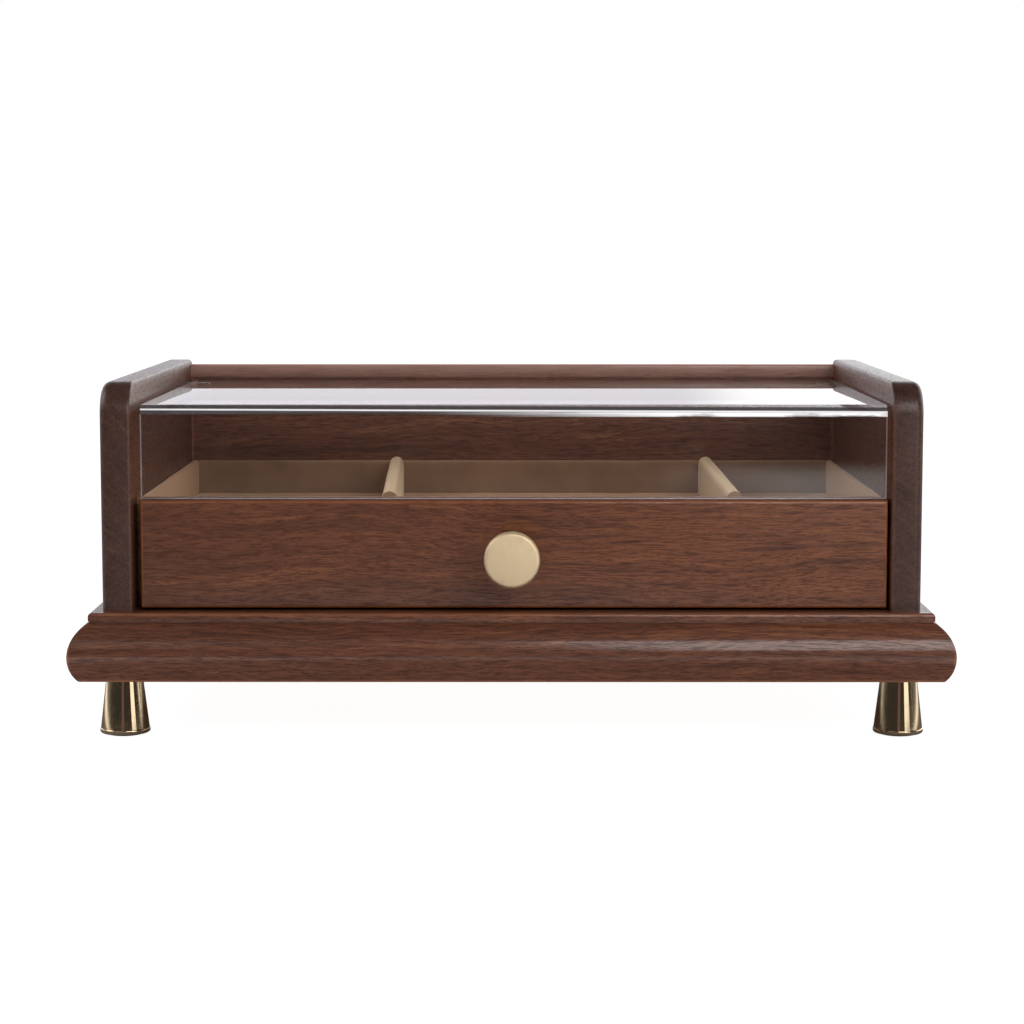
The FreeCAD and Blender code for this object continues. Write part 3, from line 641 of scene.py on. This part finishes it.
def bent_line(name, top):
    """The bend of the acrylic in painted shade and painted light: a dark line, then a pale one that
    widens to the right.

    All levels are depths under the top of the lid; the lines fall a little to the right.
    """
    material, tree, shader, coordinates = new_material(name)
    x, _, z = axes_of(tree, coordinates)
    depth = difference(tree, top, z)
    level = difference(tree, depth, product(tree, x, 0.0033))
    # Painted shade at the top of the bend, a painted highlight below it, and a painted glow growing
    # to the right
    painted_shade_line = product(tree, stepped(tree, level, 0.0001, 0.0007),
                        stepped(tree, depth, 0.0034, 0.003))
    painted_highlight_line = banded(tree, level, (0.0015, 0.0018), (0.002, 0.0023))
    patches = noise_node(tree, scaled(tree, coordinates, (60, 300, 300)), detail=3)
    painted_glow = product(tree, stepped(tree, level, 0.002, 0.0024),
                   stepped(tree, depth, 0.0044, 0.0036), stepped(tree, x, -0.04, 0.07),
                   stepped(tree, patches, 0.2, 0.5))
    pale = math_node(tree, "MAXIMUM", painted_highlight_line, painted_glow)
    tree.links.new(blended(tree, pale, (0.05, 0.038, 0.038, 1), (0.95, 0.92, 0.93, 1)),
                   shader.inputs["Base Color"])
    tree.links.new(product(tree, math_node(tree, "MAXIMUM", painted_shade_line, pale), 0.9),
                   shader.inputs["Alpha"])
    # The pale lines shine with a little emission, though the sheet is no lamp
    tree.links.new(blended(tree, pale, (0, 0, 0, 1), (1, 1, 1, 1)),
                   shader.inputs["Emission Color"])
    set_values(shader, Roughness=0.1, Emission_Strength=0.2)
    return material


clear_acrylic = clear_sheet("clear_acrylic", 0.02)
acrylic_edge = frosted_edge("acrylic_edge", (0.66, 0.58, 0.6, 1))
# The skirt's foot is tinted brown: a painted reflection of the walnut around it
acrylic_foot_painted_reflection = frosted_edge("acrylic_foot_painted_reflection", (0.57, 0.3, 0.2, 1))
acrylic_bend = bent_line("acrylic_bend", lid_high.z)


def studio_floor():
    """A plain pale floor with a faint painted shadow near the box; what the box mirrors of it is a
    white ring and a patch on the right.
    """
    material, tree, shader, coordinates = new_material("pale_floor")
    cloud = noise_node(tree, coordinates, scale=1.5, detail=2)
    tree.links.new(blended(tree, cloud, rgb(128, 128, 128), rgb(122, 122, 124)),
                   shader.inputs["Base Color"])
    set_values(shader, Roughness=0.9, Specular_IOR_Level=0.1, Emission_Color=(1, 1, 1, 1))
    x, y, _ = axes_of(tree, coordinates)
    length = tree.nodes.new("ShaderNodeVectorMath")
    length.operation = "LENGTH"
    tree.links.new(coordinates, length.inputs[0])
    distance = length.outputs["Value"]
    rays = tree.nodes.new("ShaderNodeLightPath").outputs
    # For the camera the floor glows a little less near the box: a painted shadow
    seen = product(tree, rays["Is Camera Ray"],
                   total(tree, product(tree, stepped(tree, distance, 0.2, 0.9), 0.05), 0.95))
    bounced = product(tree, rays["Is Diffuse Ray"], 0.75)
    ring = banded(tree, distance, (0.2, 0.27), (0.32, 0.42))
    patch = product(tree, stepped(tree, x, 0.08, 0.22),
                    banded(tree, y, (-1.6, -1.1), (-0.95, -0.75)), 1.3)
    mirrored = product(tree, rays["Is Glossy Ray"], math_node(tree, "MAXIMUM", patch, ring))
    tree.links.new(total(tree, seen, bounced, mirrored), shader.inputs["Emission Strength"])
    return material


# What the sky shows to all rays but the camera's, brighter than 1 where it acts as a lamp
ROOM_BELOW = (0.04, 0.038, 0.036, 1)
ROOM_ABOVE = (0.1, 0.1, 0.1, 1)
CAMERA_SIDE = (0.16, 0.1, 0.1, 1)
BACK_WALL = (1.34, 1.31, 1.38, 1)
RIGHT_WALL = (2.0, 2.0, 2.0, 1)


def studio_sky():
    """White where the camera sees it; else a dim room with a bright wall behind the box.

    The wall's right part is brighter still, and rays that mirror it see only its lower part.
    """
    world = bpy.data.worlds.new("studio")
    bpy.context.scene.world = world
    world.use_nodes = True
    tree = world.node_tree
    tree.nodes.clear()
    x, y, z = axes_of(tree, tree.nodes.new("ShaderNodeTexCoord").outputs["Generated"])
    rays = tree.nodes.new("ShaderNodeLightPath").outputs
    mirrored = rays["Is Glossy Ray"]
    low_wall = product(tree, stepped(tree, z, 0.6, 0.3), mirrored)
    high_wall = product(tree, stepped(tree, z, 0.95, 0.3), difference(tree, 1.0, mirrored))
    behind = product(tree, stepped(tree, total(tree, product(tree, x, 0.12), y), 0.04, 0.2),
                     total(tree, low_wall, high_wall))
    right_wall = product(tree, behind, stepped(tree, x, 0.06, 0.1))
    camera_side = product(tree, banded(tree, x, (-0.2, -0.13), (0.03, 0.08)),
                          stepped(tree, y, -0.5, -0.8), stepped(tree, z, 0.3, 0.1))
    colour = blended(tree, stepped(tree, z, 0.45, 0.8), ROOM_BELOW, ROOM_ABOVE)
    colour = blended(tree, camera_side, colour, CAMERA_SIDE)
    colour = blended(tree, behind, colour, BACK_WALL)
    colour = blended(tree, right_wall, colour, RIGHT_WALL)
    room = tree.nodes.new("ShaderNodeBackground")
    tree.links.new(colour, room.inputs["Color"])
    backdrop = tree.nodes.new("ShaderNodeBackground")
    backdrop.inputs["Color"].default_value = (1, 1, 1, 1)
    view = mixed_shaders(tree, rays["Is Camera Ray"], room.outputs[0], backdrop.outputs[0])
    tree.links.new(view, tree.nodes.new("ShaderNodeOutputWorld").inputs["Surface"])


studio_sky()


# Modelling helpers

SAME_PLACE = 2e-6
SIDEWAYS = 0.95
ALONG_X, ALONG_Y, UP, FORWARD = (1, 0, 0), (0, 1, 0), (0, 0, 1), (0, -1, 0)


def near(point, *wanted):
    return all(target is None or abs(value - target) < SAME_PLACE
               for value, target in zip(point, wanted))


def corners_at(shape, x=None, y=None, z=None):
    """The corners that lie at the given coordinates."""
    return [v for v in shape.verts if near(v.co, x, y, z)]


def edges_at(shape, x=None, y=None, z=None):
    """The edges whose both ends lie at the given coordinates."""
    return [e for e in shape.edges if all(near(v.co, x, y, z) for v in e.verts)]


def round_edges(shape, edges, radius, segments):
    bmesh.ops.bevel(shape, geom=edges, offset=radius, offset_type="OFFSET", segments=segments,
                    profile=0.5, affect="EDGES", material=-1, clamp_overlap=True)


def round_corners(shape, corners, radius, segments):
    """Rounds corners of a flat outline before it is made thick."""
    bmesh.ops.bevel(shape, geom=corners, offset=radius, offset_type="OFFSET", segments=segments,
                    profile=0.5, affect="VERTICES", material=-1, clamp_overlap=True)


def flat_outline(points):
    shape = bmesh.new()
    shape.faces.new([shape.verts.new(point) for point in points])
    return shape


def thicken(shape, step):
    """Extrudes a flat shape into a solid."""
    made = bmesh.ops.extrude_face_region(shape, geom=shape.faces[:])
    far = [item for item in made["geom"] if isinstance(item, bmesh.types.BMVert)]
    bmesh.ops.translate(shape, verts=far, vec=step)
    bmesh.ops.recalc_face_normals(shape, faces=shape.faces[:])


def turned(points, centre, axis, across, steps=96):
    """A closed shape turned from (radius, height) points about an axis."""
    shape = bmesh.new()
    axis, across, centre = Vector(axis), Vector(across), Vector(centre)
    chain = [shape.verts.new(centre + across * radius + axis * height)
             for radius, height in points]
    for first, last in zip(chain, chain[1:]):
        shape.edges.new((first, last))
    bmesh.ops.spin(shape, geom=shape.verts[:] + shape.edges[:], cent=centre, axis=axis,
                   angle=math.tau, steps=steps, use_merge=True, use_duplicate=False)
    bmesh.ops.remove_doubles(shape, verts=shape.verts[:], dist=1e-6)
    bmesh.ops.recalc_face_normals(shape, faces=shape.faces[:])
    return shape


def cylinder(centre, axis, across, radius, start, end, steps):
    return turned([(0, start), (radius, start), (radius, end), (0, end)], centre, axis, across,
                  steps)


def round_ring(shape, centre, axis, radius, height, rounding, segments):
    """Rounds the edge of a turned shape that has this radius and height."""
    centre, axis = Vector(centre), Vector(axis)

    def on_ring(vertex):
        arm = vertex.co - centre
        level = arm.dot(axis)
        return (abs(level - height) < SAME_PLACE
                and abs((arm - axis * level).length - radius) < SAME_PLACE)
    ring = [e for e in shape.edges if all(on_ring(v) for v in e.verts)]
    round_edges(shape, ring, rounding, segments)


def piece(name, shape, material, body, slot, *replaced, sharp=40):
    """Makes the object of a finished shape and lets it ride on its body."""
    mesh = bpy.data.meshes.new(name)
    shape.to_mesh(mesh)
    shape.free()
    mesh.materials.append(material)
    mesh.shade_smooth()
    mesh.set_sharp_from_angle(angle=math.radians(sharp))
    item = bpy.data.objects.new(name, mesh)
    bpy.context.scene.collection.objects.link(item)
    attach(item, body)
    if replaced:
        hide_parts(*replaced)
    return item


# Base: four mouldings, each a profile with a lip, a quirk and a bulge, cut to its mitres

def moulding_profile(case_face, start_x):
    """The profile of the front moulding as a flat shape, case_face in front of the middle."""
    shape = bmesh.new()

    def corner(out, up):
        return shape.verts.new((start_x, -(case_face + out), up))
    top = base_high.z - base_low.z
    inner = OVERHANG - MOULDING_WIDTH
    rebate_depth, rebate_level = inner + BASE_BOARD_REBATE, top - BASE_BOARD_THICKNESS
    lip_foot = top - LIP_HEIGHT
    bulge_top = lip_foot - QUIRK_HEIGHT
    bulge_middle = OVERHANG - BULGE_RADIUS
    reach = math.sqrt(BULGE_RADIUS ** 2 - (bulge_top - BULGE_HEIGHT) ** 2)
    chain = [corner(inner, 0), corner(inner, rebate_level), corner(rebate_depth, rebate_level),
             corner(rebate_depth, top), corner(LIP_OUT, top), corner(LIP_OUT, lip_foot),
             corner(LIP_OUT - QUIRK_DEPTH, lip_foot), corner(LIP_OUT - QUIRK_DEPTH, bulge_top),
             corner(bulge_middle + reach, bulge_top)]
    lip_corner = chain[4]
    for first, last in zip(chain, chain[1:]):
        shape.edges.new((first, last))

    # The bulge sweeps down to where the small round at its foot takes over
    small = BULGE_RADIUS - BULGE_FOOT_ROUND
    rise = math.asin((bulge_top - BULGE_HEIGHT) / BULGE_RADIUS)
    drop = math.asin((BULGE_HEIGHT - BULGE_FOOT_ROUND) / small)
    centre_y = -(case_face + bulge_middle)
    swept = bmesh.ops.spin(shape, geom=[chain[-1]], cent=(start_x, centre_y, BULGE_HEIGHT),
                           axis=ALONG_X, angle=rise + drop, steps=24)
    foot_centre = (start_x, centre_y - small * math.cos(drop), BULGE_FOOT_ROUND)
    swept = bmesh.ops.spin(shape, geom=swept["geom_last"], cent=foot_centre, axis=ALONG_X,
                           angle=math.pi / 2 - drop, steps=5)
    last = next(item for item in swept["geom_last"] if isinstance(item, bmesh.types.BMVert))
    shape.edges.new((last, chain[0]))
    bmesh.ops.contextual_create(shape, geom=shape.edges[:])
    round_corners(shape, [lip_corner], LIP_ROUND, 5)
    return shape


def moulding(name, length, case_face, quarter_turns, material):
    shape = moulding_profile(case_face, -length / 2)
    thicken(shape, (length, 0, 0))
    for side in (1, -1):
        cut = bmesh.ops.bisect_plane(
            shape, geom=shape.verts[:] + shape.edges[:] + shape.faces[:], clear_outer=True,
            plane_co=(side * length / 2, -(case_face + OVERHANG), 0), plane_no=(side, 1, 0))
        rim = [item for item in cut["geom_cut"] if isinstance(item, bmesh.types.BMEdge)]
        bmesh.ops.contextual_create(shape, geom=rim)
    turn = Matrix.Rotation(quarter_turns * math.pi / 2, 3, "Z")
    bmesh.ops.rotate(shape, verts=shape.verts[:], cent=(0, 0, 0), matrix=turn)
    bmesh.ops.translate(shape, verts=shape.verts[:], vec=(0, base_middle, base_low.z))
    bmesh.ops.recalc_face_normals(shape, faces=shape.faces[:])
    piece(name + "_shaped", shape, material, "case", "case_walnut", name, sharp=30)


moulding("front_moulding", base_width, base_depth / 2 - OVERHANG, 0, front_walnut)
moulding("right_moulding", base_depth, base_width / 2 - OVERHANG, 1, side_walnut)
moulding("back_moulding", base_width, base_depth / 2 - OVERHANG, 2, back_walnut)
moulding("left_moulding", base_depth, base_width / 2 - OVERHANG, 3, side_walnut)


# Feet: turned cones with a rim, and felt under them

def foot_spots(row):
    """The name and the place of the left and the right foot of a row, and their size."""
    low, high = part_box(row + "_feet")
    radius = (high.y - low.y) / 2
    return [(row + "_left", (low.x + radius, low.y + radius, 0), radius, high.z),
            (row + "_right", (high.x - radius, low.y + radius, 0), radius, high.z)]


def foot(name, centre, radius, top, node):
    rim_top = PAD_PROUD + FOOT_RIM_HEIGHT
    shape = turned([(0, PAD_THICKNESS), (PAD_RADIUS, PAD_THICKNESS), (PAD_RADIUS, PAD_PROUD),
                    (radius, PAD_PROUD), (radius, rim_top),
                    (radius - FOOT_RIM_STEP, rim_top + FOOT_RIM_BEVEL), (FOOT_TOP_RADIUS, top),
                    (0, top)], centre, UP, ALONG_X)
    round_ring(shape, centre, UP, radius, PAD_PROUD, FOOT_BOTTOM_ROUND, 4)
    round_ring(shape, centre, UP, radius, rim_top, FOOT_RIM_ROUND, 2)
    piece(name, shape, polished_brass, "case", "brass", node)


def felt_disc(name, centre, axis, radius, thickness, *replaced):
    shape = cylinder(centre, axis, ALONG_X, radius, 0, thickness, 48)
    for height in (0, thickness):
        round_ring(shape, centre, axis, radius, height, FELT_ROUND, 3)
    piece(name, shape, brown_felt, "case", "felt", *replaced)


for row in ("front", "rear"):
    for name, spot, radius, top in foot_spots(row):
        foot(name + "_foot", spot, radius, top, row + "_feet")


# Case: side panels with rounded corners, and the back panel with its rail

def side_panel(name, outside, inside, edge_walnut):
    low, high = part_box(name)
    shape = flat_outline([(outside, low.y, low.z), (outside, high.y, low.z),
                          (outside, high.y, high.z), (outside, low.y, high.z)])
    round_corners(shape, corners_at(shape, z=high.z), PANEL_CORNER, 20)
    thicken(shape, (inside - outside, 0, 0))
    for face_x, radius, segments in ((outside, PANEL_OUTER_ROUND, 6),
                                     (inside, PANEL_INNER_ROUND, 3)):
        foot_edges = edges_at(shape, z=low.z)
        rim = [e for e in edges_at(shape, x=face_x) if e not in foot_edges]
        round_edges(shape, rim, radius, segments)
    item = piece(name + "_shaped", shape, edge_walnut, "case", "case_walnut", name)
    item.data.materials.append(face_walnut)
    for face in item.data.polygons:
        if abs(face.normal.x) > SIDEWAYS:
            face.material_index = 1


def back_panel():
    low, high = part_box("back_panel")
    groove_y = low.y + GROOVE_DEPTH
    groove_low, groove_high = lid_high.z - GROOVE_BELOW_LID_TOP, lid_high.z + GROOVE_ABOVE_LID_TOP
    shape = flat_outline([(low.x, low.y, low.z), (low.x, high.y, low.z), (low.x, high.y, high.z),
                          (low.x, low.y, high.z), (low.x, low.y, groove_high),
                          (low.x, groove_y, groove_high), (low.x, groove_y, groove_low),
                          (low.x, low.y, groove_low)])
    round_corners(shape, corners_at(shape, y=high.y, z=high.z), RAIL_BACK_ROUND, 12)
    round_corners(shape, corners_at(shape, y=low.y, z=high.z), RAIL_FRONT_ROUND, 4)
    thicken(shape, (high.x - low.x, 0, 0))
    piece("back_panel_shaped", shape, lit_rail_walnut, "case", "case_walnut", "back_panel")


left_panel, right_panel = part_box("left_side_panel"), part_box("right_side_panel")
side_panel("left_side_panel", left_panel[0].x, left_panel[1].x, panel_edge_walnuts["left"])
side_panel("right_side_panel", right_panel[1].x, right_panel[0].x, panel_edge_walnuts["right"])
back_panel()


# Lid: one clear sheet bent down at the front, bored for its pins

def sheet_lid():
    low, high = lid_low, lid_high
    inner_y, inner_z = low.y + SHEET_THICKNESS, high.z - SHEET_THICKNESS
    shape = flat_outline([(low.x, low.y, low.z), (low.x, inner_y, low.z),
                          (low.x, inner_y, inner_z), (low.x, high.y, inner_z),
                          (low.x, high.y, high.z), (low.x, low.y, high.z)])
    round_corners(shape, corners_at(shape, y=low.y, z=high.z), BEND_OUTER_RADIUS, 14)
    round_corners(shape, corners_at(shape, y=inner_y, z=inner_z), BEND_INNER_RADIUS, 14)
    thicken(shape, (high.x - low.x, 0, 0))
    bend_edges = edges_at(shape, z=high.z - BEND_OUTER_RADIUS)
    skirt = [e for e in edges_at(shape, y=low.y) if e not in bend_edges]
    round_edges(shape, skirt, SKIRT_BEVEL, 1)
    return piece("lid_sheet", shape, clear_acrylic, "lid", "clear_acrylic", "lid_cover", sharp=25)


def bore(item, centre, radius, start_x, end_x):
    """Cuts a round hole along X."""
    cutter_shape = cylinder(centre, ALONG_X, ALONG_Y, radius, start_x, end_x, 24)
    cutter_mesh = bpy.data.meshes.new("drill")
    cutter_shape.to_mesh(cutter_mesh)
    cutter_shape.free()
    cutter = bpy.data.objects.new("drill", cutter_mesh)
    bpy.context.scene.collection.objects.link(cutter)
    cut = item.modifiers.new("bore", "BOOLEAN")
    cut.operation = "DIFFERENCE"
    cut.object = cutter
    cut.solver = "EXACT"
    bpy.context.view_layer.update()
    result = item.evaluated_get(bpy.context.evaluated_depsgraph_get())
    bored = bpy.data.meshes.new_from_object(result)
    item.modifiers.clear()
    item.data = bored
    bpy.data.objects.remove(cutter)


def lid_pin(name):
    """Turns one pin; gives the middle of its left end, its length and its radius."""
    low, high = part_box(name)
    centre = (low.x, (low.y + high.y) / 2, (low.z + high.z) / 2)
    length, radius = high.x - low.x, (high.z - low.z) / 2
    shape = cylinder(centre, ALONG_X, ALONG_Y, radius, 0, length, 32)
    for end in (0, length):
        round_ring(shape, centre, ALONG_X, radius, end, PIN_END_ROUND, 2)
    piece(name + "_turned", shape, plain_steel, "case", "steel", name)
    return centre, length, radius


def finish_lid(item):
    """Gives the cut edges, the skirt's foot and the bend their own materials."""
    item.data.shade_smooth()
    item.data.set_sharp_from_angle(angle=math.radians(25))
    for material in (acrylic_edge, acrylic_foot_painted_reflection, acrylic_bend):
        item.data.materials.append(material)
    for face in item.data.polygons:
        if abs(face.normal.x) > 0.5:
            face.material_index = 1
        elif face.center.z < lid_low.z + SKIRT_BEVEL:
            face.material_index = 2
        elif face.normal.z * face.normal.y < -0.01:
            face.material_index = 3


lid = sheet_lid()
(pin_x, pin_y, pin_z), pin_length, pin_radius = lid_pin("left_lid_pin")
bore(lid, (0, pin_y, pin_z), pin_radius + PIN_PLAY, lid_low.x - DRILL_OVERSHOOT,
     pin_x + pin_length + PIN_PLAY)
(pin_x, pin_y, pin_z), pin_length, pin_radius = lid_pin("right_lid_pin")
bore(lid, (0, pin_y, pin_z), pin_radius + PIN_PLAY, pin_x - PIN_PLAY,
     lid_high.x + DRILL_OVERSHOOT)
finish_lid(lid)


# Velvet: linings with a rolled top, dividers and floor pads

def uneven(shape, depth, width, held=()):
    """Moves each point a little along its normal, as stuffed cloth is never quite flat."""
    shape.normal_update()
    for vertex in shape.verts:
        if vertex not in held:
            push = noise.noise(vertex.co / width) + 0.4 * noise.noise(vertex.co / width * 3.1)
            vertex.co += vertex.normal * depth * push


def velvet_wall(name, body, top_round, along, askew=0.0, finish=shaded_velvet):
    """An upright padded strip; along is the index of its long axis, askew moves its front end."""
    low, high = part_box(name)
    if along == 1:
        foot_ends = [(low.x, low.y), (high.x, low.y)]
        step = (0, high.y - low.y, 0)
    else:
        foot_ends = [(low.x, low.y), (low.x, high.y)]
        step = (high.x - low.x, 0, 0)
    shape = flat_outline([(*foot_ends[0], low.z), (*foot_ends[1], low.z),
                          (*foot_ends[1], high.z), (*foot_ends[0], high.z)])
    round_corners(shape, corners_at(shape, z=high.z), top_round, 6)
    thicken(shape, step)
    length = step[along]
    long_edges = [e for e in shape.edges
                  if abs((e.verts[0].co - e.verts[1].co)[along]) > 0.9 * length]
    bmesh.ops.subdivide_edges(shape, edges=long_edges, cuts=int(length / WALL_STEP))
    uneven(shape, *WALL_DENTS)
    for vertex in shape.verts:
        vertex.co.x += askew * (high.y - vertex.co.y) / (high.y - low.y)
    item = piece(name + "_velvet", shape, finish, body, "velvet", name, sharp=60)


def velvet_floor(name, body):
    low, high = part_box(name)
    size = high - low
    middle = (low + high) / 2
    shape = bmesh.new()
    bmesh.ops.create_grid(shape, x_segments=int(size.x / FLOOR_STEP),
                          y_segments=int(size.y / FLOOR_STEP), size=0.5)
    bmesh.ops.scale(shape, verts=shape.verts[:], vec=(size.x, size.y, 1))
    bmesh.ops.translate(shape, verts=shape.verts[:], vec=(middle.x, middle.y, low.z))
    thicken(shape, (0, 0, size.z))
    rim = [e for e in edges_at(shape, z=high.z)
           if len({face.normal.z > 0.9 for face in e.link_faces}) == 2]
    round_edges(shape, rim, FLOOR_EDGE_ROUND, 3)
    uneven(shape, *FLOOR_DENTS, [v for v in shape.verts if near(v.co, None, None, low.z)])
    item = piece(name + "_velvet", shape, shaded_velvet, body, "velvet", name, sharp=60)


velvet_wall("tray_left_lining", "case", LINING_TOP_ROUND, 1)
velvet_wall("tray_right_lining", "case", LINING_TOP_ROUND, 1)
velvet_wall("tray_front_lining", "case", LINING_TOP_ROUND, 0)
velvet_wall("tray_back_lining", "case", LINING_TOP_ROUND, 0)
# The dividers take the lit copy of the velvet
velvet_wall("left_tray_divider", "case", DIVIDER_TOP_ROUND, 1, DIVIDER_ASKEW, lit_velvet)
velvet_wall("right_tray_divider", "case", DIVIDER_TOP_ROUND, 1, finish=lit_velvet)
velvet_floor("tray_floor_pad", "case")
velvet_floor("drawer_floor_pad", "drawer")


# Knob: seat, neck and a flat disc with a rounded rim

def knob():
    low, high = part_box("drawer_knob")
    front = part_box("drawer_front")[0].y
    centre = ((low.x + high.x) / 2, front, (low.z + high.z) / 2)
    radius, reach = (high.x - low.x) / 2, front - low.y
    disc_back = reach - KNOB_DISC_THICKNESS
    shape = turned([(0, 0), (KNOB_SEAT_RADIUS, 0), (KNOB_SEAT_RADIUS, KNOB_SEAT_THICKNESS),
                    (KNOB_NECK_RADIUS, KNOB_SEAT_THICKNESS),
                    (KNOB_NECK_RADIUS, disc_back - KNOB_FLARE), (radius, disc_back),
                    (radius, reach), (0, reach)], centre, FORWARD, ALONG_X, steps=128)
    round_ring(shape, centre, FORWARD, radius, reach, KNOB_RIM_ROUND, 6)
    round_ring(shape, centre, FORWARD, radius, disc_back, KNOB_BACK_ROUND, 3)
    round_ring(shape, centre, FORWARD, KNOB_SEAT_RADIUS, KNOB_SEAT_THICKNESS, KNOB_SEAT_ROUND, 3)
    piece("drawer_knob_turned", shape, satin_brass, "drawer", "brass", "drawer_knob")


knob()


# Felt under the feet and behind the drawer

for row in ("front", "rear"):
    for name, spot, _, _ in foot_spots(row):
        felt_disc(name + "_foot_felt", spot, UP, PAD_RADIUS, PAD_THICKNESS, "foot_pads")
low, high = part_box("drawer_bumpers")
for side, spot_x in (("left", low.x + BUMPER_RADIUS), ("right", high.x - BUMPER_RADIUS)):
    spot = (spot_x, high.y, (low.z + high.z) / 2)
    felt_disc(side + "_bumper_felt", spot, FORWARD, BUMPER_RADIUS, BUMPER_THICKNESS,
              "drawer_bumpers")


# Solids that show as they are

FINISHES = {
    "base_board": inner_wood_across, "foot_bolts": plain_steel, "panel_dowels": inner_wood_along,
    "left_tray_cleat": inner_wood_along, "right_tray_cleat": inner_wood_along,
    "tray_shelf": inner_wood_across, "tray_front_board": inner_wood_across,
    "left_drawer_glide": pale_plastic, "right_drawer_glide": pale_plastic,
    "drawer_stop_strip": inner_wood_across, "drawer_front": drawer_walnut,
    "drawer_left_side": inner_wood_along, "drawer_right_side": inner_wood_along,
    "drawer_back": inner_wood_across, "drawer_bottom": inner_wood_across,
    "knob_screw": plain_steel,
}
for node_name, finish in FINISHES.items():
    for material_slot in nodes[node_name].material_slots:
        material_slot.material = finish


# Floor

floor_shape = bmesh.new()
bmesh.ops.create_grid(floor_shape, x_segments=8, y_segments=8, size=6)
floor_mesh = bpy.data.meshes.new("floor")
floor_shape.to_mesh(floor_mesh)
floor_shape.free()
floor_mesh.materials.append(studio_floor())
floor = bpy.data.objects.new("floor", floor_mesh)
bpy.context.scene.collection.objects.link(floor)
